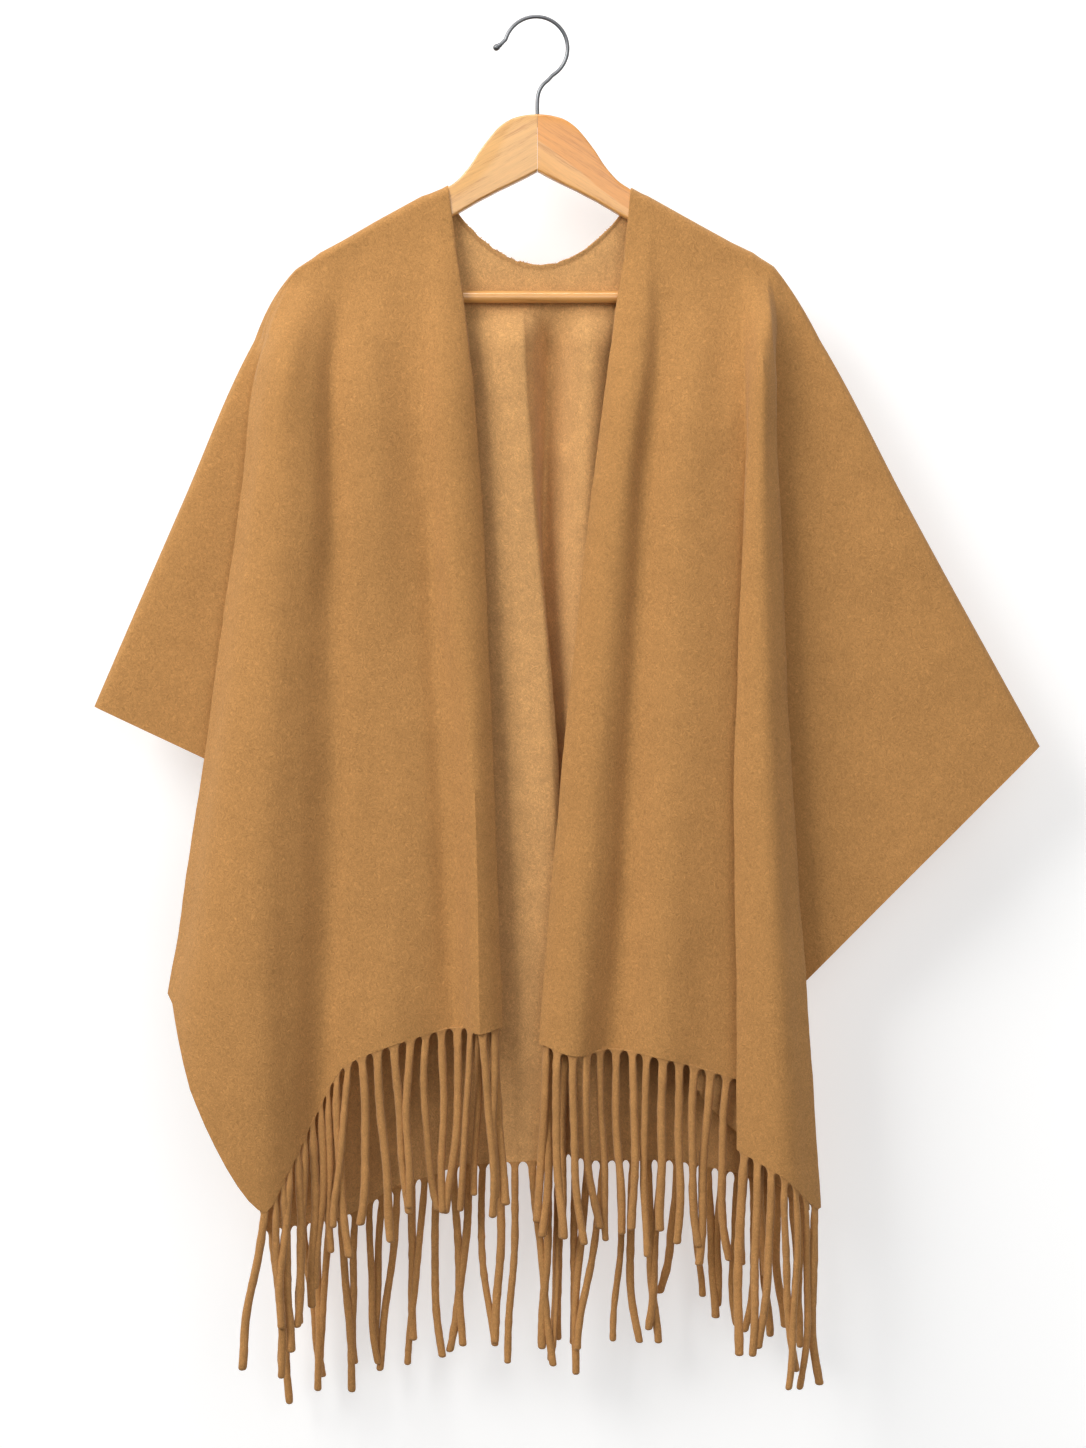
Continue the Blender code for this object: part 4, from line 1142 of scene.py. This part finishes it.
def light_world(world):
    """White where the camera sees it. As a light, bright in front and above, dim at the sides."""
    n = Nodes(world)
    white = n.tree.nodes["Background"]
    n.fill(white, {0: (1.0, 1.0, 1.0, 1.0), 1: 1.0})
    split = n.add("ShaderNodeSeparateXYZ", {0: n.add("ShaderNodeTexCoord").outputs["Generated"]})
    height = n.math("SUBTRACT", split.outputs["Z"], split.outputs["Y"])
    glow = n.add("ShaderNodeMapRange", {
        "Value": height, "From Min": -0.3, "To Min": ROOM_DIM, "To Max": ROOM_BRIGHT,
    })
    room = n.add("ShaderNodeBackground", {1: glow.outputs[0]})
    camera = n.add("ShaderNodeLightPath").outputs["Is Camera Ray"]
    n.mix_shaders(camera, room.outputs[0], white.outputs[0], "World Output")


def stage_wall():
    place = (0, WALL_Y, MIDDLE[2])
    bpy.ops.mesh.primitive_plane_add(size=1, location=place, rotation=(math.pi / 2, 0, 0))
    wall = bpy.context.object
    wall.name = "wall"
    wall.scale = (*WALL_SIZE, 1)
    wall.data.materials.append(wall_look())


def area_light(lamp):
    """A rectangular light that looks at the middle of the object."""
    light = bpy.data.lights.new(lamp.name, "AREA")
    light.shape = "RECTANGLE"
    light.size, light.size_y = lamp.size
    light.energy = lamp.power
    light.color = lamp.colour
    made = linked(lamp.name, light)
    made.location = lamp.place
    aim = Vector(MIDDLE) - Vector(lamp.place)
    made.rotation_euler = aim.to_track_quat("-Z", "Y").to_euler()


def studio():
    scene = bpy.context.scene
    scene.view_settings.view_transform = "Standard"
    scene.world = bpy.data.worlds.new("studio")
    light_world(scene.world)
    stage_wall()
    for lamp in LAMPS:
        area_light(lamp)
    lens = bpy.data.cameras.new("camera")
    camera = linked("camera", lens)
    camera.location = CAMERA_PLACE
    camera.rotation_euler = (math.pi / 2, 0, 0)
    lens.sensor_fit = "VERTICAL"
    lens.sensor_height = SENSOR
    lens.lens = SENSOR * -CAMERA_PLACE[1] / VIEW_HEIGHT
    scene.camera = camera


def dress(piece, slot, *nodes):
    """Puts a piece on the one body and hides the solids that it stands in for. slot is not used."""
    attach(piece, "root")
    if nodes:
        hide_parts(*nodes)
    return piece


LOOKS = {
    "wool": wool_look("camel_wool", WOOL, 0.1, 0.6),
    "wool_inside": wool_look("camel_wool_inside", WOOL_INSIDE, 0.22, 0.6),
    "wool_strand": wool_look("camel_wool_strand", WOOL_STRAND, 0.2, 0.5),
    "pale_wood": wood_look("pale_honey_wood", *HONEY, math.radians(-29)),
    "amber_wood": wood_look("amber_wood", *AMBER, math.radians(33), AMBER_SPLIT),
    "bar_wood": wood_look("bar_wood", *BAR_WOOD, 0.0),
    "chrome": chrome_look(),
}

front_left = Panel("front_left", FRONT_LEFT, -1)
front_right = Panel("front_right", FRONT_RIGHT, -1)
back = Panel("back", BACK, 1)
edge = ("slit_edge", 0)
outer = ("outer_fold", 0)
fringes = (
    Fringe("fringe_front_left", front_left, edge, ("fold_crest", 0), LEFT_LENGTHS, 10),
    Fringe("fringe_front_right", front_right, edge, ("under_band", -1), RIGHT_LENGTHS, 9),
    Fringe("fringe_band", front_right, ("band_edge", 0), outer, RIGHT_LENGTHS, 7),
    Fringe("fringe_back", back, outer, outer, BACK_LENGTHS, 11),
)
for panel in (front_left, front_right, back):
    grid, normals, columns, controls = fine_panel(panel)
    cloth = dress(cloth_piece(panel, grid, normals), "wool", panel.name)
    if panel is back:
        dress(neck_tufts(grid), "wool")
    for fringe in fringes:
        if fringe.panel is panel:
            dress(fringe_piece(fringe, grid, normals, columns, controls), "wool", fringe.name)
dress(arm_piece("arm_left_wood", -1, LOOKS["pale_wood"]), "pale_wood", "hanger_arm_left")
dress(arm_piece("arm_right_wood", 1, LOOKS["amber_wood"]), "amber_wood", "hanger_arm_right")
dress(bar_piece(), "pale_wood", "hanger_bar")
dress(hook_piece(), "chrome", "hanger_hook")
studio()

bpy.context.view_layer.update()
